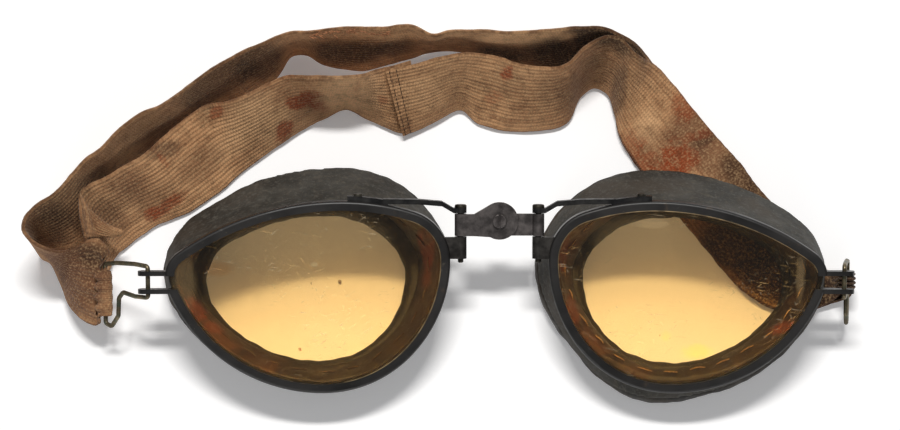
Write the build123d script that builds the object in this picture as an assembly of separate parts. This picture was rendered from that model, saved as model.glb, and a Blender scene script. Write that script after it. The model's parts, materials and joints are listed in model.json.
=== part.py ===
from build123d import *
import math
import os

# Every length is in millimetres. X runs to the viewer's right, Y from the cheek to the
# brow, Z up, and the goggles lie on their face pads with the lenses up.

# Pose of the frame
bridge_height = 26.5
frame_tilt = 18.0
cup_roll = 3.0
left_ring_drop = 38.0

# Bridge
pin_half_span = 11.0
pin_radius = 0.8
knuckle_radius = 1.7
turning_clearance = 0.05
knuckle_gap = 0.3
link_low = 4.3
link_high = 1.9
link_thickness = 1.2
left_link_level = 0.5
disc_radius = 5.3
rear_disc_radius = 4.7
disc_neck = 7.2
disc_shoulder = 2.6
disc_shoulder_height = 4.6
friction_washer_thickness = 0.2
friction_washer_radius = 4.0
spring_washer_thickness = 0.5
spring_washer_radius = 2.5
pivot_radius = 1.0
pivot_head_radius = 2.0
pivot_head_height = 0.9
pivot_slot_width = 0.6
pivot_slot_depth = 0.5
pivot_tail = 0.5
nut_across = 4.0
nut_thickness = 1.6
edge_break = 0.25

# Rims
left_rim_width = 80.4
right_rim_width = 78.4
rim_height = 54.8
rim_rise = 5.8
rim_standoff = 3.0
rim_front = 2.2
rim_depth = 4.5
rim_band = 2.6
rim_skin = 1.3
rim_round = 0.8
rim_brow_share = 0.384
rim_cheek_share = 0.445
rim_nose_share = 0.69
rim_tip_share = 0.615
rim_fullness_shares = (0.85, 0.38, 0.30, 0.96)
lens_thickness = 1.8
lens_front_gap = 0.6
lens_play = 0.1

# Prongs that the rim's two ends are turned out to
prong_length = 7.7
prong_root = 1.2
prong_thickness = 1.3
prong_depth = 3.4
prong_pitch = 5.1
prong_below_tip = 1.7
prong_hole_distance = 4.9
wire_radius = 0.65
ring_bend = 0.9
ring_reach = 16.5
ring_lean = 4.87
ring_shape_shares = (
    (0.0, 0.27),
    (0.0, -0.27),
    (0.30, -0.27),
    (0.58, -0.22),
    (0.68, -0.33),
    (0.70, -0.64),
    (0.86, -0.84),
    (1.0, -0.80),
    (1.0, 0.24),
    (0.72, 0.28),
    (0.30, 0.29),
)

# Lugs and braces
lug_low = 10.8
lug_thickness = 1.2
lug_level = 0.4
lug_reach = 6.0
brace_start = 2.2
brace_thickness = 1.4
brace_depth = 3.0
brace_flat = 2.0
brace_knee_u = 5.3
brace_knee_v = 4.15
brace_mid_u = 12.0
brace_mid_v = 4.75
brace_land_u = 22.0
brace_land_v = 4.9
brace_end_u = 32.0
pin_head_height = 1.0
pin_tail = 1.2
rivet_place = 29.0
rivet_radius = 0.7
rivet_head_radius = 1.3
rivet_head_height = 0.6
rivet_grip = 0.8

# Cups of leather, their linings and the pads that touch the face
pad_thickness = 8.0
pad_round = 2.4
wall_tuck = 0.8
wall_foot_inset = 0.5
wall_thickness = 1.2
lining_top_inset = 3.0
lining_foot_inset = 8.0
left_base_width = 84.0
left_base_height = 66.5
left_base_nose = 14.3
left_base_cheek = -45.6
right_base_width = 84.6
right_base_height = 68.6
right_base_nose = 10.8
right_base_cheek = -49.0
base_brow_share = 0.40
base_cheek_share = 0.42
base_nose_share = 0.57
base_tip_share = 0.55
base_fullness_shares = (0.70, 0.67, 0.60, 0.92)
left_pad_nose = 12.7
left_pad_tip = 13.1
left_pad_cheek = 10.0
left_pad_brow = 13.1
right_pad_nose = 13.8
right_pad_tip = 12.6
right_pad_cheek = 12.8
right_pad_brow = 12.4

# Strap: one loop of webbing, doubled. Each row gives the band's lower edge and then its
# upper edge, as shares of the strap's span, from the left end to the right end.
strap_span = 100.0
strap_thickness = 1.3
strap_gap = 0.2
strap_wrap_clearance = 0.15
strap_lap_share = 0.7
wrap_lead = 1.6
wrap_low_share = -0.66
wrap_high_share = 0.13
wrap_angles = (-90.0, -135.0, 180.0, 135.0, 90.0)
dent_clearance = 0.35
dent_margin = 1.2
strap_lap_shares = (1.0, 1.0, 0.5)
front_left_shares = (
    (-1.180, -0.268, 0.066, -1.182, -0.120, 0.158),
    (-1.208, -0.225, 0.040, -1.222, -0.085, 0.168),
    (-1.190, -0.150, 0.020, -1.232, -0.020, 0.190),
    (-1.150, -0.085, 0.012, -1.222, 0.035, 0.205),
    (-1.090, -0.025, 0.010, -1.190, 0.090, 0.200),
    (-1.010, 0.035, 0.008, -1.110, 0.155, 0.200),
    (-0.900, 0.083, 0.008, -1.010, 0.232, 0.175),
    (-0.830, 0.133, 0.008, -0.933, 0.313, 0.146),
    (-0.775, 0.182, 0.008, -0.855, 0.366, 0.153),
    (-0.697, 0.246, 0.008, -0.743, 0.378, 0.214),
    (-0.585, 0.325, 0.008, -0.613, 0.438, 0.226),
    (-0.520, 0.365, 0.008, -0.528, 0.429, 0.245),
    (-0.452, 0.392, 0.008, -0.453, 0.425, 0.250),
    (-0.384, 0.362, 0.008, -0.393, 0.436, 0.244),
    (-0.282, 0.318, 0.008, -0.331, 0.470, 0.199),
    (-0.199, 0.355, 0.008, -0.221, 0.490, 0.216),
)
front_lap_shares = (
    (-0.282, 0.318, 0.008, -0.331, 0.470, 0.199),
    (-0.199, 0.355, 0.008, -0.221, 0.490, 0.216),
    (-0.113, 0.395, 0.008, -0.126, 0.505, 0.231),
    (-0.051, 0.345, 0.008, -0.041, 0.515, 0.186),
    (0.068, 0.322, 0.008, 0.074, 0.475, 0.204),
    (0.150, 0.330, 0.008, 0.153, 0.465, 0.219),
    (0.210, 0.355, 0.008, 0.205, 0.480, 0.221),
    (0.248, 0.430, 0.008, 0.250, 0.520, 0.240),
)
front_arch_shares = (
    (0.290, 0.460, 0.008, 0.310, 0.550, 0.241),
    (0.332, 0.435, 0.010, 0.360, 0.545, 0.231),
    (0.350, 0.370, 0.015, 0.405, 0.505, 0.210),
    (0.362, 0.310, 0.024, 0.460, 0.500, 0.125),
)
front_under_shares = (
    (0.392, 0.250, 0.025, 0.525, 0.455, 0.060),
    (0.430, 0.195, 0.025, 0.580, 0.393, 0.030),
    (0.490, 0.123, 0.0255, 0.645, 0.310, 0.0255),
    (0.550, 0.045, 0.0255, 0.712, 0.228, 0.0255),
    (0.610, -0.032, 0.0255, 0.780, 0.140, 0.0255),
    (0.668, -0.105, 0.0255, 0.843, 0.055, 0.0255),
    (0.730, -0.168, 0.0255, 0.893, -0.020, 0.0255),
    (0.800, -0.210, 0.0255, 0.926, -0.075, 0.0255),
    (0.880, -0.235, 0.027, 0.950, -0.090, 0.027),
    (0.945, -0.250, 0.031, 0.970, -0.100, 0.034),
)
front_end_shares = (
    (0.974, -0.255, 0.041, 0.982, -0.103, 0.051),
)
rear_shares = (
    (-1.185, -0.290, 0.095, -1.175, -0.100, 0.200),
    (-1.225, -0.260, 0.060, -1.225, -0.085, 0.205),
    (-1.260, -0.180, 0.030, -1.280, -0.080, 0.225),
    (-1.300, -0.100, 0.012, -1.335, -0.060, 0.235),
    (-1.335, -0.030, 0.008, -1.385, -0.015, 0.245),
    (-1.325, 0.045, 0.008, -1.370, 0.048, 0.250),
    (-1.265, 0.096, 0.008, -1.305, 0.100, 0.250),
    (-1.188, 0.172, 0.008, -1.224, 0.176, 0.250),
    (-1.097, 0.257, 0.008, -1.133, 0.264, 0.250),
    (-1.029, 0.310, 0.008, -1.060, 0.320, 0.250),
    (-0.915, 0.389, 0.008, -0.940, 0.400, 0.250),
    (-0.823, 0.455, 0.008, -0.847, 0.467, 0.250),
    (-0.729, 0.497, 0.008, -0.749, 0.510, 0.252),
    (-0.613, 0.540, 0.008, -0.624, 0.550, 0.252),
    (-0.532, 0.541, 0.008, -0.535, 0.560, 0.252),
    (-0.440, 0.513, 0.008, -0.440, 0.565, 0.248),
    (-0.355, 0.522, 0.008, -0.356, 0.566, 0.248),
    (-0.266, 0.553, 0.008, -0.267, 0.575, 0.252),
    (-0.191, 0.575, 0.008, -0.190, 0.545, 0.250),
    (-0.125, 0.580, 0.008, -0.137, 0.556, 0.250),
    (-0.050, 0.566, 0.008, -0.061, 0.553, 0.252),
    (0.027, 0.547, 0.008, 0.015, 0.553, 0.252),
    (0.144, 0.541, 0.008, 0.134, 0.560, 0.252),
    (0.225, 0.560, 0.008, 0.235, 0.590, 0.250),
)
# Before these rows the rear band lies close behind the front band's arch and under it.
rear_end_shares = (
    (1.000, -0.258, 0.023, 1.008, -0.105, 0.037),
    (1.019, -0.252, 0.045, 1.022, -0.107, 0.068),
)

# How far a cutting body runs past what it cuts
overrun = 1.0

half = 0.5
sides = 6


def outline(width, height, brow, cheek, nose, tip, fullness_shares, inset):
    """Closed D-shaped outline from eight arcs. The nose end is at u = 0, the low point
    at v = 0. Each quarter has a small arc across its shorter extent and a large one."""
    ends = {
        "nose": (0.0, nose * height),
        "brow": (brow * width, height),
        "tip": (width, tip * height),
        "cheek": (cheek * width, 0.0),
    }
    quarters = (
        ("nose", "brow", 1, 1, fullness_shares[0]),
        ("tip", "brow", -1, 1, fullness_shares[1]),
        ("tip", "cheek", -1, -1, fullness_shares[2]),
        ("nose", "cheek", 1, -1, fullness_shares[3]),
    )
    arcs = []
    for number, (side, flat, inward, upward, share) in enumerate(quarters):
        reach = abs(ends[flat][0] - ends[side][0])
        rise = abs(ends[flat][1] - ends[side][1])
        square = reach**2 + rise**2
        if reach > rise:
            beside = share * rise
            across = (square - 2 * reach * beside) / (2 * (rise - beside))
        else:
            across = share * reach
            beside = (square - 2 * rise * across) / (2 * (reach - across))
        first = (ends[side][0] + inward * beside, ends[side][1])
        second = (ends[flat][0], ends[flat][1] - upward * across)
        apart = math.hypot(first[0] - second[0], first[1] - second[1])
        sign = 1 if across > beside else -1
        way = (
            sign * (first[0] - second[0]) / apart,
            sign * (first[1] - second[1]) / apart,
        )
        side_way = (-inward, 0.0)
        flat_way = (0.0, upward)
        pair = [
            arc_points(first, beside - inset, side_way, way),
            arc_points(second, across - inset, way, flat_way),
        ]
        if number in (1, 3):
            pair = [tuple(reversed(points)) for points in reversed(pair)]
        arcs.extend(pair)
    edges = []
    for number, points in enumerate(arcs):
        start = arcs[number - 1][2]
        edges.append(ThreePointArc(start, points[1], points[2]))
    return make_face(edges)


def arc_points(centre, radius, start_way, end_way):
    """Start, middle and end of an arc between two directions from its centre."""
    middle = (start_way[0] + end_way[0], start_way[1] + end_way[1])
    size = math.hypot(middle[0], middle[1])
    ways = (start_way, (middle[0] / size, middle[1] / size), end_way)
    return tuple(
        (centre[0] + radius * way[0], centre[1] + radius * way[1]) for way in ways
    )


def bridge_plane():
    """Plane of the bridge: x along the bridge, y up the lenses, z out of them."""
    tilt = math.radians(frame_tilt)
    normal = (0, -math.sin(tilt), math.cos(tilt))
    return Plane(origin=(0, 0, bridge_height), x_dir=(1, 0, 0), z_dir=normal)


def cup_plane():
    """Plane of a cup through its hinge pin, x toward the temple."""
    tilt = math.radians(frame_tilt)
    roll = math.radians(cup_roll)
    normal = Vector(0, -math.sin(tilt), math.cos(tilt))
    along = Vector(1, 0, 0) * math.cos(roll) + normal * math.sin(roll)
    out = normal * math.cos(roll) - Vector(1, 0, 0) * math.sin(roll)
    return Plane(origin=(pin_half_span, 0, bridge_height), x_dir=along, z_dir=out)


def place(plane, shape):
    return plane.location * shape


def rim_outline(width, inset):
    face = outline(
        width,
        rim_height,
        rim_brow_share,
        rim_cheek_share,
        rim_nose_share,
        rim_tip_share,
        rim_fullness_shares,
        inset,
    )
    return Pos(rim_standoff, rim_rise - rim_height, 0) * face


def base_outline(width, height, nose, cheek, inset):
    face = outline(
        width,
        height,
        base_brow_share,
        base_cheek_share,
        base_nose_share,
        base_tip_share,
        base_fullness_shares,
        inset,
    )
    return Pos(nose, cheek, 0) * face


def rim_block(width, inset, low, high):
    """A slab with the rim's outline, between two levels of the cup's plane."""
    return Pos(0, 0, low) * extrude(rim_outline(width, inset), high - low)


def box_between(corner, opposite):
    size = [opposite[i] - corner[i] for i in range(3)]
    middle = [(opposite[i] + corner[i]) * half for i in range(3)]
    return Pos(*middle) * Box(*size)


def rod(radius, low, high, u=0.0, w=0.0):
    """A rod along the cup's v axis from low to high."""
    rail = Cylinder(radius, high - low)
    return Pos(u, (low + high) * half, w) * Rot(90, 0, 0) * rail


def prong_level():
    """Height of the prongs' middle along the cup's v axis."""
    return rim_rise - rim_height + rim_tip_share * rim_height - prong_below_tip


def make_rim(width):
    body = rim_block(width, 0, rim_front - rim_depth, rim_front)
    crown = body.faces().sort_by(Axis.Z)[-1].edges()
    body = fillet(crown, rim_round)
    hole = rim_block(width, rim_band, rim_front - rim_depth - overrun, rim_front + overrun)
    body = body - hole
    lens_top = rim_front - lens_front_gap
    groove = rim_block(width, rim_skin, lens_top - lens_thickness, lens_top)
    body = body - groove
    tip = rim_standoff + width
    level = prong_level()
    slot_half = (prong_pitch - prong_thickness) * half
    slot = box_between(
        (tip - rim_band * 2, level - slot_half, rim_front - rim_depth - overrun),
        (tip + overrun, level + slot_half, rim_front + overrun),
    )
    body = body - slot
    for way in (-1, 1):
        middle = level + way * prong_pitch * half
        bar = box_between(
            (
                tip - prong_root,
                middle - prong_thickness * half,
                -prong_depth * half,
            ),
            (
                tip + prong_length - prong_depth * half,
                middle + prong_thickness * half,
                prong_depth * half,
            ),
        )
        nose = rod(
            prong_depth * half,
            middle - prong_thickness * half,
            middle + prong_thickness * half,
            tip + prong_length - prong_depth * half,
        )
        body = body + bar + nose
    hole = rod(
        wire_radius + turning_clearance,
        level - prong_pitch,
        level + prong_pitch,
        tip + prong_hole_distance,
    )
    body = body - hole
    return body - make_rivet()


def make_lens(width):
    lens_top = rim_front - lens_front_gap
    return rim_block(width, rim_skin + lens_play, lens_top - lens_thickness, lens_top)


def make_rivet():
    top = rim_rise + brace_thickness
    shank = rod(rivet_radius, rim_rise - rivet_grip, top, rivet_place)
    head = rod(rivet_head_radius, top - edge_break, top + rivet_head_height, rivet_place)
    crown = head.faces().sort_by(Axis.Y)[-1].edges()
    return shank + fillet(crown, rivet_head_height * half)


def make_lug(width):
    top = -link_low - knuckle_gap
    knuckle = rod(knuckle_radius, -lug_low, top)
    plate = box_between(
        (0, -lug_low, lug_level),
        (lug_reach, top, lug_level + lug_thickness),
    )
    body = knuckle + plate
    body = body - rod(pin_radius, -lug_low - overrun, top + overrun)
    return body - rim_block(width, 0, -rim_depth, rim_front + overrun)


def make_brace(width):
    """The bar from the top of the hinge pin that runs out to the rim's brow."""
    depth_half = brace_depth * half
    lower = [
        (0, brace_start),
        (brace_flat, brace_start),
        (brace_knee_u, brace_knee_v),
        (brace_mid_u, brace_mid_v),
        (brace_land_u, brace_land_v),
    ]
    upper = [(u, v + brace_thickness) for u, v in reversed(lower)]
    bar = make_face(Polyline(*lower, *upper, close=True))
    shoulder = rim_outline(width, -brace_thickness)
    window = Pos(
        (brace_land_u - brace_thickness + brace_end_u) * half, rim_height * half
    ) * Rectangle(brace_end_u - brace_land_u + brace_thickness, rim_height)
    face = bar + (shoulder & window)
    body = Pos(0, 0, -depth_half) * extrude(face, brace_depth)
    eye = rod(knuckle_radius, brace_start, brace_start + brace_thickness)
    body = body + eye
    body = body - rim_block(width, 0, -rim_depth, rim_front + overrun)
    stem = rod(pin_radius, brace_start - overrun, brace_start + brace_thickness + overrun)
    return body - stem - make_rivet()


def make_pin():
    top = brace_start + brace_thickness
    shank = rod(pin_radius, -lug_low - pin_tail, top)
    tail = shank.faces().sort_by(Axis.Y)[0].edges()
    shank = chamfer(tail, edge_break)
    head = rod(knuckle_radius, top, top + pin_head_height)
    crown = head.faces().sort_by(Axis.Y)[-1].edges()
    return shank + fillet(crown, pin_head_height * half)


def ring_plane(width, drop):
    """Plane of a strap ring: x away from the prongs, y along the bar through them."""
    cup = cup_plane()
    swing = math.radians(drop)
    away = cup.x_dir * math.cos(swing) - cup.z_dir * math.sin(swing)
    face = cup.x_dir * math.sin(swing) + cup.z_dir * math.cos(swing)
    heart = cup.from_local_coords(
        Vector(rim_standoff + width + prong_hole_distance, prong_level(), 0)
    )
    return Plane(origin=heart, x_dir=away, z_dir=face)


def leaning_drop(width, base_width, base_nose):
    """Drop in degrees of a ring that hangs down beside the foot of its cup."""
    pin = ring_plane(width, 0).origin
    out = base_nose + base_width + ring_lean - pin.X
    return math.degrees(math.atan2(pin.Z - pad_thickness, out))


def bent_line(points, radius):
    """Closed path through the corners, each rounded by an arc tangent to both sides."""
    count = len(points)
    bends = []
    for number, corner in enumerate(points):
        to_last = (points[number - 1] - corner).normalized()
        to_next = (points[(number + 1) % count] - corner).normalized()
        opening = math.acos(max(-1.0, min(1.0, to_last.dot(to_next))))
        cut = radius / math.tan(opening * half)
        heart = corner + (to_last + to_next).normalized() * (
            radius / math.sin(opening * half)
        )
        middle = heart + (corner - heart).normalized() * radius
        bends.append((corner + to_last * cut, middle, corner + to_next * cut))
    edges = []
    for number, bend in enumerate(bends):
        edges.append(Line(bends[number - 1][2], bend[0]))
        edges.append(ThreePointArc(*bend))
    return edges


def make_ring(width, drop):
    plane = ring_plane(width, drop)
    points = [Vector(a * ring_reach, b * ring_reach) for a, b in ring_shape_shares]
    edges = bent_line(points, ring_bend)
    path = Wire([edge.edge() for edge in edges])
    start = edges[0] @ half
    spot = Plane(origin=start, z_dir=edges[0] % half)
    section = spot.location * Circle(wire_radius)
    wire = sweep(section.face(), path=path, transition=Transition.RIGHT)
    return place(plane, wire)


def make_wall(values, width, inset, foot_inset):
    """A solid cup between the rim's rear and the pad, both outlines moved inward."""
    base_width, base_height, base_nose, base_cheek = values
    foot = Pos(0, 0, pad_thickness) * base_outline(
        base_width, base_height, base_nose, base_cheek, foot_inset
    )
    top = place(cup_plane(), Pos(0, 0, rim_front - rim_depth) * rim_outline(width, inset))
    return loft([foot.face(), top.face()], ruled=True)


def make_pad(values, pad_widths):
    base_width, base_height, base_nose, base_cheek = values
    outer = base_outline(base_width, base_height, base_nose, base_cheek, 0)
    nose, tip, cheek, brow = pad_widths
    inner = base_outline(
        base_width - nose - tip,
        base_height - cheek - brow,
        base_nose + nose,
        base_cheek + cheek,
        0,
    )
    body = extrude(outer, pad_thickness) - extrude(inner, pad_thickness)
    level = body.edges().filter_by(Plane.XY)
    return fillet(level, pad_round)


def cup_parts(width, values, pad_widths, drop):
    """Everything on one cup, with the temple toward +X."""
    plane = cup_plane()
    tube = make_wall(values, width, wall_tuck, wall_foot_inset)
    inner = make_wall(
        values, width, wall_tuck + wall_thickness, wall_foot_inset + wall_thickness
    )
    funnel = make_wall(values, width, lining_top_inset, lining_foot_inset)
    return {
        "rim": place(plane, make_rim(width)),
        "lens": place(plane, make_lens(width)),
        "cup_wall": tube - inner,
        "lining": inner - funnel,
        "cushion": make_pad(values, pad_widths),
        "hinge_lug": place(plane, make_lug(width)),
        "brace": place(plane, make_brace(width)),
        "brace_rivet": place(plane, make_rivet()),
        "hinge_pin": place(plane, make_pin()),
        "strap_ring": make_ring(width, drop),
    }


def link_knuckle(x):
    return rod(knuckle_radius, -link_low, link_high, x)


def link_bore(x):
    bore = pin_radius + turning_clearance
    return rod(bore, -link_low - overrun, link_high + overrun, x)


def make_left_link():
    strip = box_between(
        (-pin_half_span, -link_low, left_link_level),
        (-disc_neck + overrun, link_high, left_link_level + link_thickness),
    )
    flare = Polyline(
        (-disc_neck, -link_low),
        (-disc_neck, link_high),
        (-disc_shoulder, disc_shoulder_height),
        (-disc_shoulder, -disc_shoulder_height),
        close=True,
    )
    face = make_face(flare) + Circle(disc_radius)
    plate = Pos(0, 0, left_link_level) * extrude(face, link_thickness)
    body = strip + plate + link_knuckle(-pin_half_span)
    stem = Cylinder(pivot_radius, pin_half_span)
    return body - link_bore(-pin_half_span) - stem


def right_link_top():
    return left_link_level - friction_washer_thickness


def make_right_link():
    top = right_link_top()
    strip = box_between(
        (0, -link_low, top - link_thickness), (pin_half_span, link_high, top)
    )
    disc = Pos(0, 0, top - link_thickness * half) * Cylinder(
        rear_disc_radius, link_thickness
    )
    body = strip + disc + link_knuckle(pin_half_span)
    stem = Cylinder(pivot_radius + turning_clearance, pin_half_span)
    return body - link_bore(pin_half_span) - stem


def washer(radius, low, thickness):
    ring = Cylinder(radius, thickness) - Cylinder(pivot_radius, thickness + overrun)
    return Pos(0, 0, low + thickness * half) * ring


def make_screw():
    bottom = nut_bottom() - pivot_tail
    top = left_link_level + link_thickness
    shank = Pos(0, 0, (bottom + top) * half) * Cylinder(pivot_radius, top - bottom)
    head = Pos(0, 0, top + pivot_head_height * half) * Cylinder(
        pivot_head_radius, pivot_head_height
    )
    crown = head.faces().sort_by(Axis.Z)[-1].edges()
    head = fillet(crown, edge_break)
    slot = Pos(0, 0, top + pivot_head_height) * Box(
        pivot_slot_width, pivot_head_radius * 2 + overrun, pivot_slot_depth * 2
    )
    return shank + (head - slot)


def nut_bottom():
    under = right_link_top() - link_thickness - spring_washer_thickness
    return under - nut_thickness


def make_nut():
    face = RegularPolygon(nut_across * half, sides, major_radius=False)
    body = extrude(face, nut_thickness)
    body = body - Cylinder(pivot_radius, nut_thickness * 3)
    return Pos(0, 0, nut_bottom()) * body


def bridge_parts():
    plane = bridge_plane()
    top = right_link_top()
    under = top - link_thickness - spring_washer_thickness
    return {
        "left_link": place(plane, make_left_link()),
        "right_link": place(plane, make_right_link()),
        "friction_washer": place(
            plane, washer(friction_washer_radius, top, friction_washer_thickness)
        ),
        "spring_washer": place(
            plane, washer(spring_washer_radius, under, spring_washer_thickness)
        ),
        "pivot_screw": place(plane, make_screw()),
        "pivot_nut": place(plane, make_nut()),
    }


def wrap_rows(width, drop, mirrored):
    """Rows of the webbing round a ring's far bar, from under the bar to over it."""
    plane = ring_plane(width, drop)
    radius = wire_radius + strap_wrap_clearance + strap_thickness * half
    places = [(wrap_lead, -radius)]
    for angle in wrap_angles:
        turn = math.radians(angle)
        places.append((radius * math.cos(turn), radius * math.sin(turn)))
    places.append((wrap_lead, radius))
    rows = []
    for away, n in places:
        a = ring_reach + away
        edges = []
        for b in (wrap_low_share, wrap_high_share):
            point = plane.from_local_coords(Vector(a, b * ring_reach, n))
            edges.append(Vector(-point.X, point.Y, point.Z) if mirrored else point)
        rows.append(tuple(edges))
    return rows


def table_rows(shares):
    rows = []
    for row in shares:
        low = Vector(*[share * strap_span for share in row[:3]])
        high = Vector(*[share * strap_span for share in row[3:]])
        rows.append((low, high))
    return rows


def row_normals(rows):
    """Direction through the webbing at each row."""
    middles = [(low + high) * half for low, high in rows]
    normals = []
    for number, (low, high) in enumerate(rows):
        before = middles[max(number - 1, 0)]
        after = middles[min(number + 1, len(rows) - 1)]
        normals.append((after - before).cross(high - low).normalized())
    return normals


def shifted(rows, amounts):
    normals = row_normals(rows)
    return [
        (low + normal * amount, high + normal * amount)
        for (low, high), normal, amount in zip(rows, normals, amounts)
    ]


def band(rows):
    """A length of webbing through all rows, closed from ruled faces."""
    sections = []
    for (low, high), normal in zip(rows, row_normals(rows)):
        side = normal * strap_thickness * half
        sections.append([low - side, high - side, high + side, low + side])
    faces = [Face(Wire.make_polygon(sections[0])), Face(Wire.make_polygon(sections[-1]))]
    for first, second in zip(sections, sections[1:]):
        for number in range(len(first)):
            faces.append(
                Face.make_surface_from_curves(
                    Edge.make_line(first[number - 1], first[number]),
                    Edge.make_line(second[number - 1], second[number]),
                )
            )
    return Solid(Shell(faces))


def front_right_rows():
    return table_rows(
        front_lap_shares + front_arch_shares + front_under_shares + front_end_shares
    )


def make_strap():
    """The whole loop of webbing, from the seam round by the left and right rings and
    back over its own start."""
    left_wrap = wrap_rows(left_rim_width, left_ring_drop, True)
    right_drop = leaning_drop(right_rim_width, right_base_width, right_base_nose)
    right_wrap = wrap_rows(right_rim_width, right_drop, False)
    front_left = table_rows(front_left_shares)
    front_right = front_right_rows()
    low, high = front_left[-2]
    next_low, next_high = front_left[-1]
    lap = strap_lap_share
    front_left[-1] = (low + (next_low - low) * lap, high + (next_high - high) * lap)
    step = strap_thickness + strap_gap
    laps = [step * share for share in strap_lap_shares]
    laps += [0] * (len(front_right) - len(laps))
    behind = [-step] * len(front_right)
    start = len(front_lap_shares)
    end = len(front_right) - len(front_end_shares)
    shadow = shifted(front_right, behind)[start:end]
    front = shifted(front_right, laps)
    rows = list(reversed(front_left)) + left_wrap + table_rows(rear_shares) + shadow
    rows += table_rows(rear_end_shares) + list(reversed(right_wrap))
    return band(rows + list(reversed(front)))


def dented(pad):
    """The pad, less the space that it gives up to the doubled strap lying under it."""
    rows = table_rows(front_under_shares + front_end_shares)
    for pair in zip(rows, rows[1:]):
        pieces = []
        for low, high in pair:
            way = (high - low).normalized() * dent_margin
            level = max(low.Z, high.Z) + strap_thickness * half + dent_clearance
            corners = [
                Vector((low - way).X, (low - way).Y, -overrun),
                Vector((high + way).X, (high + way).Y, -overrun),
                Vector((high + way).X, (high + way).Y, level),
                Vector((low - way).X, (low - way).Y, level),
            ]
            pieces.append(Face(Wire.make_polygon(corners)))
        pad = pad - loft(pieces, ruled=True)
    return pad


def main():
    os.makedirs("parts", exist_ok=True)
    parts = {}
    left_base = (left_base_width, left_base_height, left_base_nose, left_base_cheek)
    right_base = (right_base_width, right_base_height, right_base_nose, right_base_cheek)
    left = cup_parts(
        left_rim_width,
        left_base,
        (left_pad_nose, left_pad_tip, left_pad_cheek, left_pad_brow),
        left_ring_drop,
    )
    right = cup_parts(
        right_rim_width,
        right_base,
        (right_pad_nose, right_pad_tip, right_pad_cheek, right_pad_brow),
        leaning_drop(right_rim_width, right_base_width, right_base_nose),
    )
    for name, shape in left.items():
        parts["left_" + name] = mirror(shape, about=Plane.YZ)
    for name, shape in right.items():
        parts["right_" + name] = shape
    for name, shape in bridge_parts().items():
        parts[name] = shape
    parts["right_cushion"] = dented(parts["right_cushion"])
    parts["strap"] = make_strap()
    box = Compound(children=[Compound(shape.solids()) for shape in parts.values()])
    bounds = box.bounding_box()
    middle = bounds.center()
    move = Pos(-middle.X, -middle.Y, -bounds.min.Z)
    for name, shape in parts.items():
        solids = shape.solids()
        whole = solids[0] if len(solids) == 1 else Compound(solids)
        piece = move * whole
        piece.label = name
        export_step(piece, os.path.join("parts", name + ".step"))
        size = piece.bounding_box().size
        print(name, len(solids), round(piece.volume, 2), size, piece.is_valid)
    print("moved by", -middle.X, -middle.Y, -bounds.min.Z, "overall", bounds.size)


main()
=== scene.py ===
import json
import math

import bpy
import numpy as np
from mathutils import Euler, Matrix, Vector, noise
from mathutils.bvhtree import BVHTree


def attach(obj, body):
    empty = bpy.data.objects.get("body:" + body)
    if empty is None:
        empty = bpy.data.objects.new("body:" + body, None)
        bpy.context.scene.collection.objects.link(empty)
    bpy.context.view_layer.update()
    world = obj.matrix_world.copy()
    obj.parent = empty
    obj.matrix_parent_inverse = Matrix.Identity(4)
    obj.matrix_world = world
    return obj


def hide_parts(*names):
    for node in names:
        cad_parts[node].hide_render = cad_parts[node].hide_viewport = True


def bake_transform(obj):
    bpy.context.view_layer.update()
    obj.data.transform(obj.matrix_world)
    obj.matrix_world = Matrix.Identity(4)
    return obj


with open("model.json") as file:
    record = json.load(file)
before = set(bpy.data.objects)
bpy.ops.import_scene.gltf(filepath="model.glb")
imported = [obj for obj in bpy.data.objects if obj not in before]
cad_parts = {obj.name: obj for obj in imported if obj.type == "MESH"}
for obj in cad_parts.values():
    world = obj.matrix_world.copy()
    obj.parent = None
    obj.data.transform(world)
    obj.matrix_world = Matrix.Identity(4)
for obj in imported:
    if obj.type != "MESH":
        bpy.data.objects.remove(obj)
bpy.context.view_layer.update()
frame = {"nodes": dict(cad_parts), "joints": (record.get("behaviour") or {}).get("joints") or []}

MM = 0.001
SEED = 7
rng = np.random.default_rng(SEED)
JOINTS = {joint["name"]: joint for joint in frame["joints"]}
PIVOT = Vector(JOINTS["bridge_pivot"]["pos_m"])
# The solids were drawn about the bridge pivot and then moved by this much.
SHIFT = np.array([PIVOT.x / MM, PIVOT.y / MM, 0.0])
# The camera: place in mm, lean in degrees, lens and sensor in mm, picture in pixels
EYE = (3.9, -133.4, 636.5)
TILT = 12.0
LENS = 88.04
SENSOR = 36.0
PICTURE = (900, 430)


def seen(x, y, height):
    """Working place in mm of a spot of the photograph that lies at a height in mm."""
    reach = LENS / SENSOR * PICTURE[0]
    right = (x - PICTURE[0] / 2) / reach
    over = (PICTURE[1] / 2 - y) / reach
    sine = math.sin(math.radians(TILT))
    cosine = math.cos(math.radians(TILT))
    way = np.array([right, sine + over * cosine, over * sine - cosine])
    return np.array(EYE) + way * (height - EYE[2]) / way[2] - SHIFT


def linear(red, green, blue):
    """Colour of a paint given as the eye reads it on a screen, 0 to 255."""
    shares = [value / 255 for value in (red, green, blue)]
    values = [s / 12.92 if s <= 0.04045 else ((s + 0.055) / 1.055) ** 2.4 for s in shares]
    return (*values, 1.0)


# Materials

# A patch fades from here to here, in shares of its size
SPOT_EDGE = (1.15, 0.55)


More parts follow.
